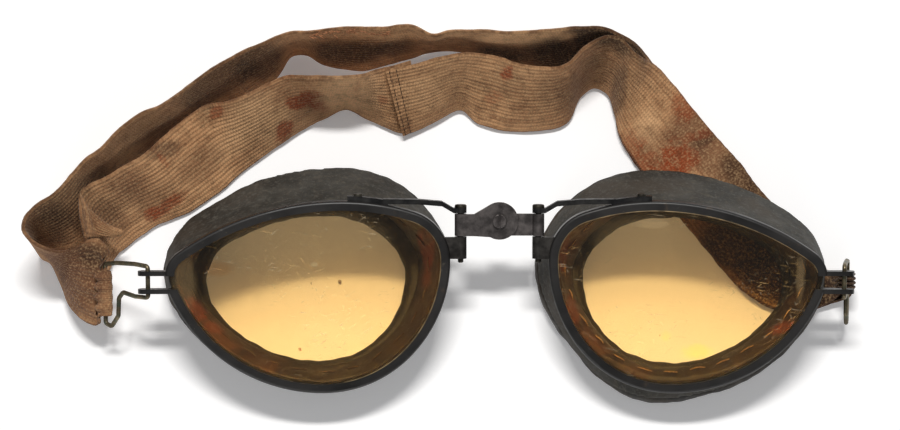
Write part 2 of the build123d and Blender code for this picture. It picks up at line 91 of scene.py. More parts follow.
class Graph:
    """A material's node tree with short calls for the nodes used here."""

    def __init__(self, name):
        self.material = bpy.data.materials.new(name)
        self.material.use_nodes = True
        self.tree = self.material.node_tree
        self.tree.nodes.clear()
        self.output = self.tree.nodes.new("ShaderNodeOutputMaterial")

    def put(self, socket, value):
        if isinstance(value, bpy.types.NodeSocket):
            self.tree.links.new(value, socket)
        else:
            socket.default_value = value

    def node(self, kind, settings=None, **inputs):
        node = self.tree.nodes.new(kind)
        for name, value in (settings or {}).items():
            setattr(node, name, value)
        for name, value in inputs.items():
            key = int(name[1:]) if name[1:].isdigit() else name.replace("_", " ")
            self.put(node.inputs[key], value)
        return node

    def place(self):
        return self.node("ShaderNodeTexCoord").outputs["Object"]

    def math(self, operation, first, second=0.0):
        made = self.node("ShaderNodeMath", {"operation": operation}, _0=first, _1=second)
        return made.outputs[0]

    def plus(self, first, second):
        return self.math("ADD", first, second)

    def less(self, first, second):
        return self.math("SUBTRACT", first, second)

    def times(self, first, second):
        return self.math("MULTIPLY", first, second)

    def noise(self, scale, detail=3.0, rough=0.55, at=None, stretch=None):
        at = at or self.place()
        if stretch:
            at = self.node("ShaderNodeMapping", Vector=at, Scale=stretch).outputs[0]
        made = self.node(
            "ShaderNodeTexNoise", Vector=at, Scale=scale, Detail=detail, Roughness=rough
        )
        return made.outputs["Fac"]

    def cells(self, scale):
        made = self.node("ShaderNodeTexVoronoi", Vector=self.place(), Scale=scale)
        return made.outputs["Distance"]

    def ramp(self, value, low, high, bottom=0.0, top=1.0):
        """Smooth step of a value from low to high."""
        made = self.node(
            "ShaderNodeMapRange",
            {"interpolation_type": "SMOOTHSTEP"},
            Value=value,
            From_Min=low,
            From_Max=high,
            To_Min=bottom,
            To_Max=top,
        )
        return made.outputs[0]

    def mix(self, share, first, second):
        made = self.node("ShaderNodeMix", {"data_type": "RGBA"}, _0=share, _6=first, _7=second)
        return made.outputs[2]

    def wash(self, base, value, low, high, share, colour):
        """A colour laid over the base where a value rises from low to high."""
        return self.mix(self.ramp(value, low, high, 0.0, share), base, linear(*colour))

    def spot(self, centre, size, wobble, amount, turn=0.0):
        """1 inside a ragged patch about a spot of the photograph at a height, 0 outside."""
        centre = seen(*centre) + SHIFT
        at = self.node(
            "ShaderNodeMapping",
            {"vector_type": "TEXTURE"},
            Vector=self.place(),
            Location=[value * MM for value in centre],
            Rotation=(0.0, 0.0, math.radians(turn)),
            Scale=[value * MM for value in size],
        ).outputs[0]
        far = self.node("ShaderNodeVectorMath", {"operation": "LENGTH"}, _0=at)
        ragged = self.times(self.less(wobble, 0.5), amount * 4)
        return self.ramp(self.plus(far.outputs["Value"], ragged), *SPOT_EDGE)

    def stains(self, base, table, colour, wobble, amount):
        """The base with a table of patches laid over it."""
        for centre, size, turn, share in table:
            patch = self.times(self.spot(centre, size, wobble, amount, turn), share)
            base = self.mix(patch, base, linear(*colour))
        return base

    def switch(self, share, first, second):
        """Ends the material in one shader or another."""
        both = self.node("ShaderNodeMixShader", _0=share)
        self.tree.links.new(first.outputs[0], both.inputs[1])
        self.tree.links.new(second.outputs[0], both.inputs[2])
        self.tree.links.new(both.outputs[0], self.output.inputs["Surface"])
        return self.material

    def bump(self, height, distance, strength=1.0, under=None):
        made = self.node(
            "ShaderNodeBump", Height=height, Distance=distance * MM, Strength=strength
        )
        if under:
            self.put(made.inputs["Normal"], under)
        return made.outputs[0]

    def surface(self, **inputs):
        shader = self.node("ShaderNodeBsdfPrincipled", **inputs)
        self.tree.links.new(shader.outputs[0], self.output.inputs["Surface"])
        return self.material


def enamel():
    g = Graph("rim_enamel")
    mottle = g.noise(60, 6, 0.6)
    dust = g.noise(420, 4, 0.7)
    worn = g.ramp(g.noise(130, 5, 0.65), 0.60, 0.70)
    base = g.mix(g.ramp(mottle, 0.35, 0.7), linear(12, 10, 9), linear(26, 23, 21))
    base = g.mix(g.times(worn, 0.55), base, linear(70, 54, 38))
    base = g.wash(base, dust, 0.62, 0.75, 0.3, (112, 106, 94))
    chip = g.ramp(g.cells(520), 0.05, 0.02)
    chip = g.times(chip, g.ramp(g.noise(60, 3, 0.6), 0.5, 0.6))
    base = g.mix(chip, base, linear(150, 132, 104))
    rough = g.ramp(mottle, 0.3, 0.7, 0.34, 0.58)
    return g.surface(
        Base_Color=base,
        Roughness=rough,
        Coat_Weight=0.15,
        Coat_Roughness=0.3,
        Normal=g.bump(g.noise(700, 5, 0.65), 0.07, 0.7, g.bump(worn, 0.05, 0.6)),
    )


LENS_SEEN = (0.745, 0.56, 0.31, 1.0)
LENS_HAZE = (0.73, 0.57, 0.35, 1.0)
LENS_SHADOW = (0.985, 0.91, 0.72, 1.0)
# Sets of fine scratches: turn in degrees, scale of the noise, and where it begins to show
SCRATCHES = ((8, 1900, 0.70), (-35, 1700, 0.71), (62, 2100, 0.72))
# Pale patches on the lenses: painted glare over each lens's shaded part, a painted reflection
# streak and a painted patch of light on the right lens, and a milky patch on the left lens: x and
# y in the photograph, height, size in mm, share
MILK_AND_PAINTED_GLARE = (
    ((300, 236, 29), (28.0, 9.0, 6), 0.025),
    ((630, 236, 28), (15.0, 9.0, 6), 0.025),
    ((184, 283, 27), (3.6, 12.0, 8), 0.05),
    ((799, 276, 24), (1.5, 8.0, 8), 0.07),
    ((650, 224, 29), (7.0, 1.6, 5), 0.09),
)
# Specks and blots on the lenses: x and y in the photograph, height, size in mm, colour
SPECKS = (
    ((340, 282, 24), (0.6, 0.6, 3), (60, 30, 14), 0.95),
    ((311, 283, 25), (0.3, 0.3, 3), (90, 60, 30), 0.8),
    ((300, 349, 19), (0.55, 0.4, 3), (110, 50, 18), 0.9),
    ((362, 284, 28), (0.25, 0.25, 3), (110, 80, 40), 0.7),
    ((660, 335, 20), (0.3, 0.3, 3), (120, 80, 40), 0.7),
    ((697, 352, 19), (5.0, 2.6, 3), (244, 206, 112), 0.6),
    ((666, 336, 20), (1.6, 1.6, 3), (240, 206, 130), 0.5),
    ((314, 264, 26), (1.2, 0.8, 3), (250, 232, 190), 0.8),
    ((215, 268, 28), (6.0, 2.4, 5), (222, 160, 96), 0.4),
)


def amber():
    g = Graph("amber_glass")
    speck = g.ramp(g.cells(230), 0.035, 0.02)
    fleck = g.ramp(g.noise(90, 2, 0.5), 0.60, 0.66)
    speck = g.times(speck, fleck)
    haze = g.ramp(g.noise(45, 4, 0.6), 0.45, 0.75, 0.0, 0.25)
    tint = g.mix(haze, LENS_SEEN, LENS_HAZE)
    ragged = g.noise(700, 3, 0.6)
    for centre, size, colour, share in SPECKS:
        patch = g.times(g.spot(centre, size, ragged, 0.2), share)
        tint = g.mix(patch, tint, linear(*colour))
    tint = g.mix(speck, tint, linear(70, 40, 22))
    scratch = 0.0
    for turn, scale, low in SCRATCHES:
        at = g.node(
            "ShaderNodeMapping", Vector=g.place(), Rotation=(0.0, 0.0, math.radians(turn))
        ).outputs[0]
        fine = g.noise(scale, 1.0, 0.4, at=at, stretch=(0.09, 1.0, 1.0))
        scratch = g.math("MAXIMUM", scratch, g.ramp(fine, low, low + 0.05))
    worn = g.ramp(g.noise(48, 3, 0.6), 0.42, 0.62)
    scratch = g.times(g.times(scratch, worn), 0.28)
    dust = g.times(g.ramp(g.noise(1300, 3, 0.7), 0.66, 0.74), worn)
    marks_and_glare = g.math("MAXIMUM", scratch, g.times(dust, 0.35))
    soft = g.noise(120, 4, 0.6)
    # Painted glare, a painted reflection and a painted patch of light, with one milky patch,
    # whiten the glass here.
    for centre, size, share in MILK_AND_PAINTED_GLARE:
        milk_and_glare = g.times(g.spot(centre, size, soft, 0.3), share)
        marks_and_glare = g.math("MAXIMUM", marks_and_glare, milk_and_glare)
    # Scratches, dust, the milky patch and the painted glare turn the glass pale.
    tint = g.mix(marks_and_glare, tint, linear(232, 220, 200))
    clear = g.less(1.0, marks_and_glare)
    shader = g.node(
        "ShaderNodeBsdfPrincipled",
        Base_Color=tint,
        Roughness=0.03,
        IOR=1.45,
        Transmission_Weight=clear,
    )
    see = g.node("ShaderNodeBsdfTransparent", Color=LENS_SHADOW)
    path = g.node("ShaderNodeLightPath")
    return g.switch(path.outputs["Is Shadow Ray"], shader, see)


CUP_MIDDLES = {"left": (312, 290, 14), "right": (688, 290, 14)}
CUP_RADIUS = 30.0


def round_cup(g, side):
    """Coordinates that run round a cup, with the height beside them."""
    middle = seen(*CUP_MIDDLES[side]) + SHIFT
    at = g.node("ShaderNodeSeparateXYZ", Vector=g.place())
    x = g.less(at.outputs["X"], middle[0] * MM)
    y = g.less(at.outputs["Y"], middle[1] * MM)
    angle = g.times(g.math("ARCTAN2", y, x), CUP_RADIUS * MM)
    far = g.math("SQRT", g.plus(g.times(x, x), g.times(y, y)))
    return g.node(
        "ShaderNodeCombineXYZ", X=angle, Y=at.outputs["Z"], Z=g.times(far, 0.4)
    ).outputs[0]


def wall_leather(side):
    g = Graph(side + "_cup_leather")
    cloud = g.noise(70, 5, 0.6)
    fine = g.noise(420, 5, 0.72)
    run = g.noise(240, 4, 0.6, at=round_cup(g, side), stretch=(1.0, 0.25, 1.0))
    base = g.mix(g.ramp(cloud, 0.36, 0.66), linear(51, 50, 46), linear(73, 71, 66))
    base = g.wash(base, run, 0.5, 0.72, 0.4, (50, 44, 38))
    base = g.wash(base, fine, 0.48, 0.68, 0.55, (98, 92, 82))
    base = g.wash(base, g.noise(36, 3, 0.5), 0.56, 0.7, 0.4, (62, 50, 38))
    pitted = g.ramp(g.noise(900, 4, 0.75), 0.52, 0.66, 0.0, 0.45)
    base = g.mix(pitted, base, linear(104, 102, 96))
    crease = g.noise(150, 6, 0.65, at=round_cup(g, side), stretch=(1.0, 0.5, 1.0))
    return g.surface(
        Base_Color=base,
        Roughness=g.ramp(fine, 0.3, 0.7, 0.62, 0.85),
        Specular_IOR_Level=0.3,
        Normal=g.bump(g.cells(1100), 0.09, 0.5, g.bump(crease, 0.3, 0.6)),
    )


# Reddened patches of the linings: x and y in the photograph, height, size in mm, share
REDS = (
    ((426, 246, 18), (3.0, 7.0, 9), 0.75),
    ((424, 275, 18), (2.5, 4.0, 9), 0.4),
    ((197, 308, 18), (4.0, 4.5, 9), 0.7),
    ((215, 325, 16), (4.0, 2.6, 9), 0.45),
    ((562, 250, 18), (2.5, 7.0, 9), 0.6),
    ((574, 305, 18), (2.5, 5.0, 9), 0.4),
    ((780, 326, 18), (6.0, 2.6, 9), 0.55),
    ((690, 214, 22), (9.0, 2.0, 9), 0.4),
)


def lining_leather(side):
    g = Graph(side + "_lining_leather")
    around = round_cup(g, side)
    cloud = g.noise(80, 6, 0.65)
    streak = g.noise(150, 5, 0.6, at=around, stretch=(1.0, 0.22, 1.0))
    patch = g.noise(44, 4, 0.6, at=around, stretch=(0.7, 0.5, 1.0))
    fine = g.noise(500, 5, 0.7)
    base = g.mix(g.ramp(cloud, 0.35, 0.66), linear(38, 30, 24), linear(66, 51, 39))
    orange = g.times(g.ramp(patch, 0.48, 0.66), 0.5)
    base = g.mix(orange, base, linear(100, 60, 38))
    for centre, size, share in REDS:
        red = g.times(g.spot(centre, size, cloud, 0.3), share)
        base = g.mix(red, base, linear(132, 62, 40))
    base = g.wash(base, streak, 0.5, 0.66, 0.7, (30, 25, 21))
    base = g.wash(base, g.noise(58, 4, 0.6), 0.55, 0.7, 0.5, (66, 62, 48))
    base = g.wash(base, streak, 0.36, 0.28, 0.35, (116, 90, 64))
    base = g.wash(base, fine, 0.55, 0.75, 0.5, (38, 28, 20))
    height = g.node("ShaderNodeSeparateXYZ", Vector=g.place()).outputs["Z"]
    # Darker towards the bottom of the lining.
    foot_darkening = g.ramp(g.plus(height, g.times(cloud, 0.004)), 0.0165, 0.0115, 0.0, 0.7)
    base = g.mix(foot_darkening, base, linear(38, 32, 26))
    return g.surface(
        Base_Color=base,
        Roughness=g.ramp(fine, 0.3, 0.7, 0.42, 0.66),
        Specular_IOR_Level=0.4,
        Normal=g.bump(streak, 0.5, 0.7, g.bump(fine, 0.2, 0.7)),
    )


def pad_leather(side):
    g = Graph(side + "_cushion_leather")
    around = round_cup(g, side)
    cloud = g.noise(120, 6, 0.65)
    fold = g.noise(190, 4, 0.6, at=around, stretch=(1.0, 0.3, 0.4))
    fine = g.noise(600, 5, 0.7)
    base = g.mix(g.ramp(cloud, 0.35, 0.66), linear(29, 27, 23), linear(52, 46, 37))
    base = g.wash(base, g.noise(50, 3, 0.5), 0.55, 0.7, 0.4, (66, 52, 37))
    base = g.wash(base, fold, 0.52, 0.68, 0.5, (36, 31, 26))
    return g.surface(
        Base_Color=base,
        Roughness=g.ramp(fine, 0.3, 0.7, 0.5, 0.74),
        Specular_IOR_Level=0.4,
        Normal=g.bump(fold, 0.35, 0.6, g.bump(g.cells(900), 0.08, 0.5)),
    )


def metal(name, dark, light, rough, shine=0.85, patina=None):
    g = Graph(name)
    cloud = g.noise(240, 5, 0.6)
    base = g.mix(g.ramp(cloud, 0.35, 0.65), linear(*dark), linear(*light))
    if patina:
        green = g.ramp(g.noise(520, 4, 0.6), 0.5, 0.66, 0.0, 0.7)
        base = g.mix(green, base, linear(*patina))
    return g.surface(
        Base_Color=base,
        Metallic=shine,
        Roughness=g.ramp(g.noise(420, 4, 0.7), 0.3, 0.7, rough - 0.1, rough + 0.14),
        Normal=g.bump(g.noise(1500, 4, 0.7), 0.03, 0.6),
    )


def thread(name, colour):
    g = Graph(name)
    twist = g.noise(2400, 2, 0.5)
    base = g.mix(g.ramp(twist, 0.35, 0.65, 0.0, 0.6), linear(*colour), linear(60, 44, 28))
    return g.surface(Base_Color=base, Roughness=0.8, Normal=g.bump(twist, 0.05))


# Strap


RIBS = 20
KNIT_PITCH = 0.85
# Patches on the webbing: x and y in the photograph and height in mm, size in mm, turn, share
RUST = (
    ((303, 100, 12), (5.5, 2.6, 9), 15, 0.9),
    ((316, 106, 8), (4.0, 1.3, 9), 0, 0.7),
    ((287, 76, 20), (4.0, 1.5, 9), 5, 0.8),
    ((284, 129, 6), (3.4, 2.2, 9), 40, 0.85),
    ((358, 89, 12), (2.0, 2.6, 9), 0, 0.45),
    ((383, 102, 8), (2.0, 1.4, 9), 0, 0.5),
    ((509, 72, 16), (2.2, 2.6, 9), -30, 0.75),
    ((493, 99, 8), (3.0, 2.0, 9), 0, 0.35),
    ((218, 115, 12), (2.6, 1.6, 9), 35, 0.6),
    ((163, 162, 8), (4.5, 1.6, 9), -45, 0.55),
    ((136, 187, 6), (2.6, 1.8, 9), 0, 0.5),
    ((168, 207, 3), (7.5, 1.8, 9), 30, 0.75),
    ((155, 214, 3), (3.5, 1.6, 9), 30, 0.6),
    ((628, 142, 8), (6.0, 6.0, 12), -50, 0.5),
    ((640, 162, 4), (7.0, 5.0, 12), -50, 0.55),
    ((679, 160, 3), (6.0, 5.0, 12), -40, 0.85),
    ((668, 172, 3), (7.0, 3.0, 12), 0, 0.7),
    ((684, 105, 6), (4.0, 5.5, 12), 20, 0.6),
    ((700, 135, 3), (7.0, 1.6, 12), 15, 0.4),
)
# Dark dirt: same layout
DIRT = (
    ((150, 172, 8), (3.0, 1.8, 9), 30, 0.5),
    ((163, 152, 14), (7.0, 2.6, 9), 25, 0.55),
    ((205, 112, 14), (4.0, 3.0, 9), 40, 0.35),
    ((95, 215, 12), (8.0, 6.0, 14), 35, 0.3),
    ((500, 84, 12), (9.0, 4.0, 9), 0, 0.22),
    ((556, 86, 12), (7.0, 7.0, 12), 60, 0.3),
    ((618, 92, 12), (3.0, 10.0, 16), -15, 0.55),
    ((598, 70, 14), (6.0, 5.0, 12), 0, 0.3),
    ((705, 137, 3), (5.0, 2.2, 12), 20, 0.5),
    ((742, 172, 3), (7.5, 8.0, 12), -45, 0.8),
    ((764, 196, 3), (9.0, 10.0, 12), -45, 0.85),
    ((838, 292, 8), (8.0, 9.0, 14), 0, 0.9),
    ((90, 252, 18), (5.0, 4.0, 12), 0, 0.35),
)
# Stretches of the webbing browned all through: same layout
BROWN = (
    ((200, 165, 5), (9.0, 5.0, 14), 35, 0.45),
    ((78, 275, 14), (12.0, 16.0, 16), 0, 0.85),
    ((58, 258, 14), (9.0, 7.0, 12), 0, 0.5),
    ((100, 225, 10), (9.0, 6.0, 14), 35, 0.55),
    ((130, 190, 8), (9.0, 6.0, 14), 35, 0.6),
    ((160, 200, 5), (8.0, 5.0, 14), 35, 0.4),
    ((690, 130, 5), (8.0, 7.0, 12), -45, 0.65),
    ((655, 150, 4), (9.0, 8.0, 12), -45, 0.4),
    ((720, 160, 3), (9.0, 8.0, 12), -45, 0.6),
    ((575, 95, 10), (6.0, 7.0, 12), 0, 0.3),
)
# The inside of the loop, the rear band and the strap under the right cup, darkened: partly dirt,
# partly painted shade where they lie in shadow: same layout
GRIME_AND_PAINTED_SHADE = (
    ((40, 225, 12), (10.0, 9.0, 16), 30, 0.55),
    ((70, 200, 12), (14.0, 4.5, 16), 38, 0.6),
    ((150, 120, 16), (14.0, 4.5, 16), 38, 0.3),
    ((215, 85, 16), (16.0, 4.5, 16), 30, 0.6),
    ((745, 245, 3), (14.0, 13.0, 10), 0, 0.9),
    ((768, 275, 4), (11.0, 11.0, 10), 0, 0.9),
    ((832, 290, 12), (8.0, 8.0, 16), 0, 0.9),
    ((838, 295, 8), (9.0, 10.0, 16), 0, 0.95),
    ((96, 256, 20), (6.0, 4.5, 8), 0, 0.6),
    ((262, 62, 16), (10.0, 4.5, 16), 20, 0.7),
    ((345, 55, 12), (17.0, 4.2, 10), 0, 0.85),
    ((395, 52, 12), (8.0, 3.0, 8), 0, 0.7),
    ((500, 58, 8), (11.0, 4.0, 9), 0, 0.9),
    ((560, 55, 10), (14.0, 5.0, 14), 0, 0.9),
    ((592, 34, 20), (10.0, 4.0, 16), -10, 0.9),
    ((630, 45, 18), (8.0, 5.0, 16), -40, 0.8),
)
# Stretches painted paler as painted light, where the webbing faces the lamp: same layout
PAINTED_LIGHT_PATCHES = (
    ((245, 120, 14), (11.0, 5.5, 14), 38, 0.8),
    ((345, 92, 14), (8.0, 7.0, 14), 0, 1.0),
    ((272, 125, 10), (9.0, 5.0, 14), 30, 0.5),
    ((230, 145, 10), (9.0, 4.0, 14), 35, 0.4),
    ((372, 95, 12), (6.0, 6.0, 14), 0, 0.5),
    ((420, 95, 12), (8.0, 5.0, 14), 0, 0.4),
    ((115, 205, 14), (9.0, 5.0, 14), 35, 0.3),
    ((330, 95, 12), (8.0, 4.0, 14), 0, 0.3),
    ((645, 130, 5), (4.5, 6.0, 14), -50, 0.6),
    ((652, 118, 5), (3.5, 4.0, 14), -50, 0.35),
    ((520, 41, 20), (13.0, 3.2, 7), 0, 1.0),
    ((555, 36, 22), (8.0, 2.6, 6), 10, 0.9),
    ((450, 38, 20), (6.0, 3.0, 8), 0, 0.8),
    ((407, 38, 20), (5.0, 3.0, 8), 0, 0.35),
    ((130, 160, 12), (8.0, 4.0, 14), 35, 0.35),
    ((290, 45, 18), (10.0, 2.0, 8), 15, 0.3),
)


def webbing():
    g = Graph("strap_webbing")
    strip = g.node("ShaderNodeUVMap", {"uv_map": "strip"}).outputs["UV"]
    parts = g.node("ShaderNodeSeparateXYZ", Vector=strip)
    along = parts.outputs["X"]
    across = parts.outputs["Y"]
    drift = g.times(g.less(g.noise(50, 2, 0.5, at=strip), 0.5), 0.02)
    place = g.plus(across, drift)
    rib_phase = g.times(place, math.tau * RIBS)
    rib = g.plus(g.times(g.math("SINE", rib_phase), 0.5), 0.5)
    row = g.math("FLOOR", g.times(place, RIBS))
    offset = g.times(row, 2.1)
    knit_phase = g.times(along, math.tau / (KNIT_PITCH * MM))
    knit = g.math("SINE", g.plus(knit_phase, offset))
    knit = g.plus(g.times(knit, 0.5), 0.5)
    lines = g.ramp(g.noise(26, 3, 0.5, at=strip, stretch=(1.0, 0.2, 1.0)), 0.38, 0.62, 0.25, 1.0)
    valley = g.times(g.less(1.0, rib), lines)
    holes = g.times(g.less(1.0, knit), g.less(1.2, lines))
    loops = g.times(g.plus(rib, 0.4), g.plus(knit, 0.6))

    cloud = g.noise(34, 5, 0.6)
    streak = g.noise(60, 5, 0.65, at=strip, stretch=(1.0, 0.35, 1.0))
    fleck = g.noise(420, 4, 0.7)
    grain = g.noise(1500, 3, 0.6)
    base = g.mix(g.ramp(cloud, 0.36, 0.64), linear(186, 138, 98), linear(224, 172, 124))
    base = g.wash(base, streak, 0.42, 0.68, 0.6, (136, 88, 57))
    stain = g.ramp(g.noise(95, 6, 0.72), 0.54, 0.66, 0.0, 0.5)
    base = g.mix(stain, base, linear(112, 70, 44))
    base = g.wash(base, g.noise(20, 4, 0.6), 0.5, 0.7, 0.3, (134, 104, 74))
    ragged = g.noise(150, 6, 0.7)
    soft = g.noise(60, 5, 0.6)
    # Painted light: paler stretches where the webbing catches the lamp.
    base = g.stains(base, PAINTED_LIGHT_PATCHES, (240, 190, 140), soft, 0.3)
    base = g.stains(base, BROWN, (98, 62, 44), soft, 0.35)
    # Dirt and painted shade: the loop's inside, the rear band and the strap in the cup's shadow.
    base = g.stains(base, GRIME_AND_PAINTED_SHADE, (46, 34, 25), soft, 0.3)
    base = g.stains(base, DIRT, (60, 42, 32), soft, 0.35)
    base = g.stains(base, RUST, (146, 62, 28), ragged, 0.6)
    base = g.mix(g.times(valley, 0.13), base, linear(66, 44, 30))
    base = g.mix(g.times(holes, 0.2), base, linear(72, 48, 32))
    base = g.wash(base, fleck, 0.45, 0.7, 0.45, (96, 66, 44))
    base = g.wash(base, grain, 0.45, 0.7, 0.4, (206, 170, 126))
    edge = g.math("ABSOLUTE", g.less(across, 0.5))
    fray = g.ramp(g.noise(500, 3, 0.6), 0.35, 0.65, 0.3, 0.75)
    base = g.mix(g.times(g.ramp(edge, 0.465, 0.495), fray), base, linear(92, 62, 42))
    return g.surface(
        Base_Color=base,
        Roughness=0.92,
        Specular_IOR_Level=0.12,
        Sheen_Weight=0.12,
        Sheen_Roughness=0.5,
        Normal=g.bump(loops, 0.2, 0.6, g.bump(fleck, 0.24, 0.6)),
    )


# Meshes


def placed(name, data):
    made = bpy.data.objects.new(name, data)
    bpy.context.scene.collection.objects.link(made)
    return made


def add_mesh(name, points, faces, material, smooth=True):
    mesh = bpy.data.meshes.new(name)
    mesh.from_pydata([tuple(point) for point in points], [], faces)
    mesh.validate()
    made = placed(name, mesh)
    mesh.materials.append(material)
    if smooth:
        mesh.shade_smooth()
    return made


# Leather and padding


def copied(name, node, voxel, material):
    """An even mesh of a CAD solid, as a piece of its own."""
    made = placed(name, frame["nodes"][node].data.copy())
    even = made.modifiers.new("even", "REMESH")
    even.mode = "VOXEL"
    even.voxel_size = voxel * MM
    ease = made.modifiers.new("ease", "SMOOTH")
    ease.iterations = 2
    graph = bpy.context.evaluated_depsgraph_get()
    mesh = bpy.data.meshes.new_from_object(made.evaluated_get(graph))
    made.modifiers.clear()
    made.data = mesh
    mesh.materials.clear()
    mesh.materials.append(material)
    mesh.shade_smooth()
    return made


def lens_plane(side):
    """A point on a cup's lens and the way that it faces, in mm."""
    points = np.array([vertex.co for vertex in frame["nodes"][side + "_lens"].data.vertices])
    middle = points.mean(0)
    facing = np.linalg.svd(points - middle, full_matrices=False)[2][2]
    return middle / MM, facing * math.copysign(1.0, facing[2])


def eased(values, low, high):
    share = np.clip((values - low) / (high - low), 0, 1)
    return share * share * (3 - 2 * share)


def read_points(mesh):
    points = np.zeros(len(mesh.vertices) * 3)
    mesh.vertices.foreach_get("co", points)
    return points.reshape(-1, 3) / MM


def read_normals(mesh):
    return np.array([tuple(item.vector) for item in mesh.vertex_normals])


def write_points(mesh, points):
    mesh.vertices.foreach_set("co", (points * MM).ravel())
    mesh.update()


def rough(points, pace, row):
    return np.array([noise.noise(Vector(point) * pace + Vector((0, 0, row))) for point in points])


# Height in mm of the seam between a cup's wall and its cushion
WALL_FOOT = 8.0
# How deep the folds go, in mm
LINING_FOLD = 0.75
WALL_FOLD = 0.45
PAD_FOLD = 0.3
# How deep the fine unevenness goes, in mm
LINING_GRAIN = 0.16
WALL_GRAIN = 0.12
PAD_GRAIN = 0.3
# How far a lining's foot has spread outwards, in mm
LINING_SPREAD = {"left": 1.2, "right": 2.9}
# The worn openings sag this far towards the cheeks.
OPENING_DROP = 1.3
# Where the worn leather has sunk in: angle and half width in degrees, depth in mm
HOLLOWS = {
    "left": ((142, 48, 2.0), (92, 34, 0.8)),
    "right": ((212, 50, 3.4), (285, 30, 0.6)),
}


def ripples(angle, height, pace, rise):
    """Noise that runs round a cup."""
    places = zip(np.cos(angle) * pace, np.sin(angle) * pace, height * rise)
    return np.array([noise.noise(Vector(place)) for place in places])


def sunk(angle, side):
    """How far the leather has sunk in at an angle round a cup, in mm."""
    depth = np.zeros(len(angle))
    for middle, half, deep in HOLLOWS[side]:
        off = np.degrees(np.angle(np.exp(1j * (angle - math.radians(middle)))))
        depth += deep * (1 - eased(np.abs(off), 0, half))
    return depth


def creased(made, side, node):
    """Presses the folds and dents of worn leather into a piece of a cup."""
    points = read_points(made.data)
    normals = read_normals(made.data)
    middle, facing = lens_plane(side)
    flat = points[:, :2] - middle[:2]
    far = np.linalg.norm(flat, axis=1, keepdims=True)
    way = np.hstack([flat / far, np.zeros((len(points), 1))])
    angle = np.arctan2(flat[:, 1], flat[:, 0])
    under = (middle - points) @ facing
    height = points[:, 2]
    folds = ripples(angle, height, 4.5, 0.07) * 0.7 + ripples(angle, height, 7, 0.13) * 0.25
    outwards = (normals * way).sum(1)
    inner = outwards < 0
    inside = eased(-outwards, -0.5, 0.5)
    drop = np.array((0.0, -OPENING_DROP, 0.0)) * inside[:, None]
    top = eased(under, 1.5, 5.0)
    sink = way * (sunk(angle, side) * eased(under, 1.0, 14.0))[:, None]
    if node == "lining":
        foot = 1 - eased(height, WALL_FOOT, WALL_FOOT + 9)
        points = points - way * (foot * LINING_SPREAD[side] * inner)[:, None]
        points = points + drop * foot[:, None] - sink * (1 - 0.3 * foot)[:, None]
        above = eased(height, WALL_FOOT - 1, WALL_FOOT + 3)
        points = points + way * (folds * LINING_FOLD * top * inner * above)[:, None]
        grain = rough(points, 0.5, 5) * LINING_GRAIN * top * inner
        points = points + normals * grain[:, None]
    elif node == "cup_wall":
        mid = top * eased(height, WALL_FOOT, WALL_FOOT + 4)
        points = points - sink + way * (folds * WALL_FOLD * mid * ~inner)[:, None]
        grain = rough(points, 0.35, 9) * WALL_GRAIN * mid * ~inner
        points = points + normals * grain[:, None]
    else:
        free = eased(height, 0.2, 2.0) * (1 - eased(height, WALL_FOOT - 1.2, WALL_FOOT))
        sink = sink * (1 - inside)[:, None]
        points = points + way * (folds * PAD_FOLD * free)[:, None] + drop - sink
        points = points + normals * (rough(points, 0.28, 2) * PAD_GRAIN * free)[:, None]
        points[:, 2] = np.maximum(points[:, 2], 0.0)
    write_points(made.data, points)


def tube(path, radius, sides=6):
    """Points and faces of a closed tube along a short path, both in mm."""
    path = np.array(path)
    ways = np.gradient(path, axis=0)
    ways /= np.linalg.norm(ways, axis=1, keepdims=True)
    points = []
    for number, (place, way) in enumerate(zip(path, ways)):
        first = np.cross(way, (0.0, 0.0, 1.0))
        if np.linalg.norm(first) < 0.1:
            first = np.cross(way, (0.0, 1.0, 0.0))
        first /= np.linalg.norm(first)
        second = np.cross(way, first)
        share = number / (len(path) - 1)
        size = radius * (0.55 + 0.45 * math.sin(math.pi * share))
        for turn in np.arange(sides) * math.tau / sides:
            points.append(place + (first * math.cos(turn) + second * math.sin(turn)) * size)
    faces = [tuple(range(sides))]
    for row in range(len(path) - 1):
        for number in range(sides):
            after = (number + 1) % sides
            a = row * sides
            faces.append((a + number, a + number + sides, a + after + sides, a + after))
    last = (len(path) - 1) * sides
    faces.append(tuple(last + number for number in reversed(range(sides))))
    return points, faces


def arch(share, low, rise):
    """Height of a thread over what it lies on, part of the way along it, in mm."""
    return low + rise * math.sin(math.pi * share)


def stitched(name, paths, radius, material):
    """One piece made of many short threads."""
    points = []
    faces = []
    for path in paths:
        more, skins = tube(path, radius)
        faces.extend(tuple(index + len(points) for index in skin) for skin in skins)
        points.extend(more)
    return add_mesh(name, np.array(points) * MM, faces, material)


STITCH_PITCH = 7.6
# Share of the pitch that a stitch covers, and how far up the lining the stitches run
STITCH_SHARE = 0.52
STITCH_RISE = 0.38
STITCH_RADIUS = 0.2
STITCH_RAYS = 720


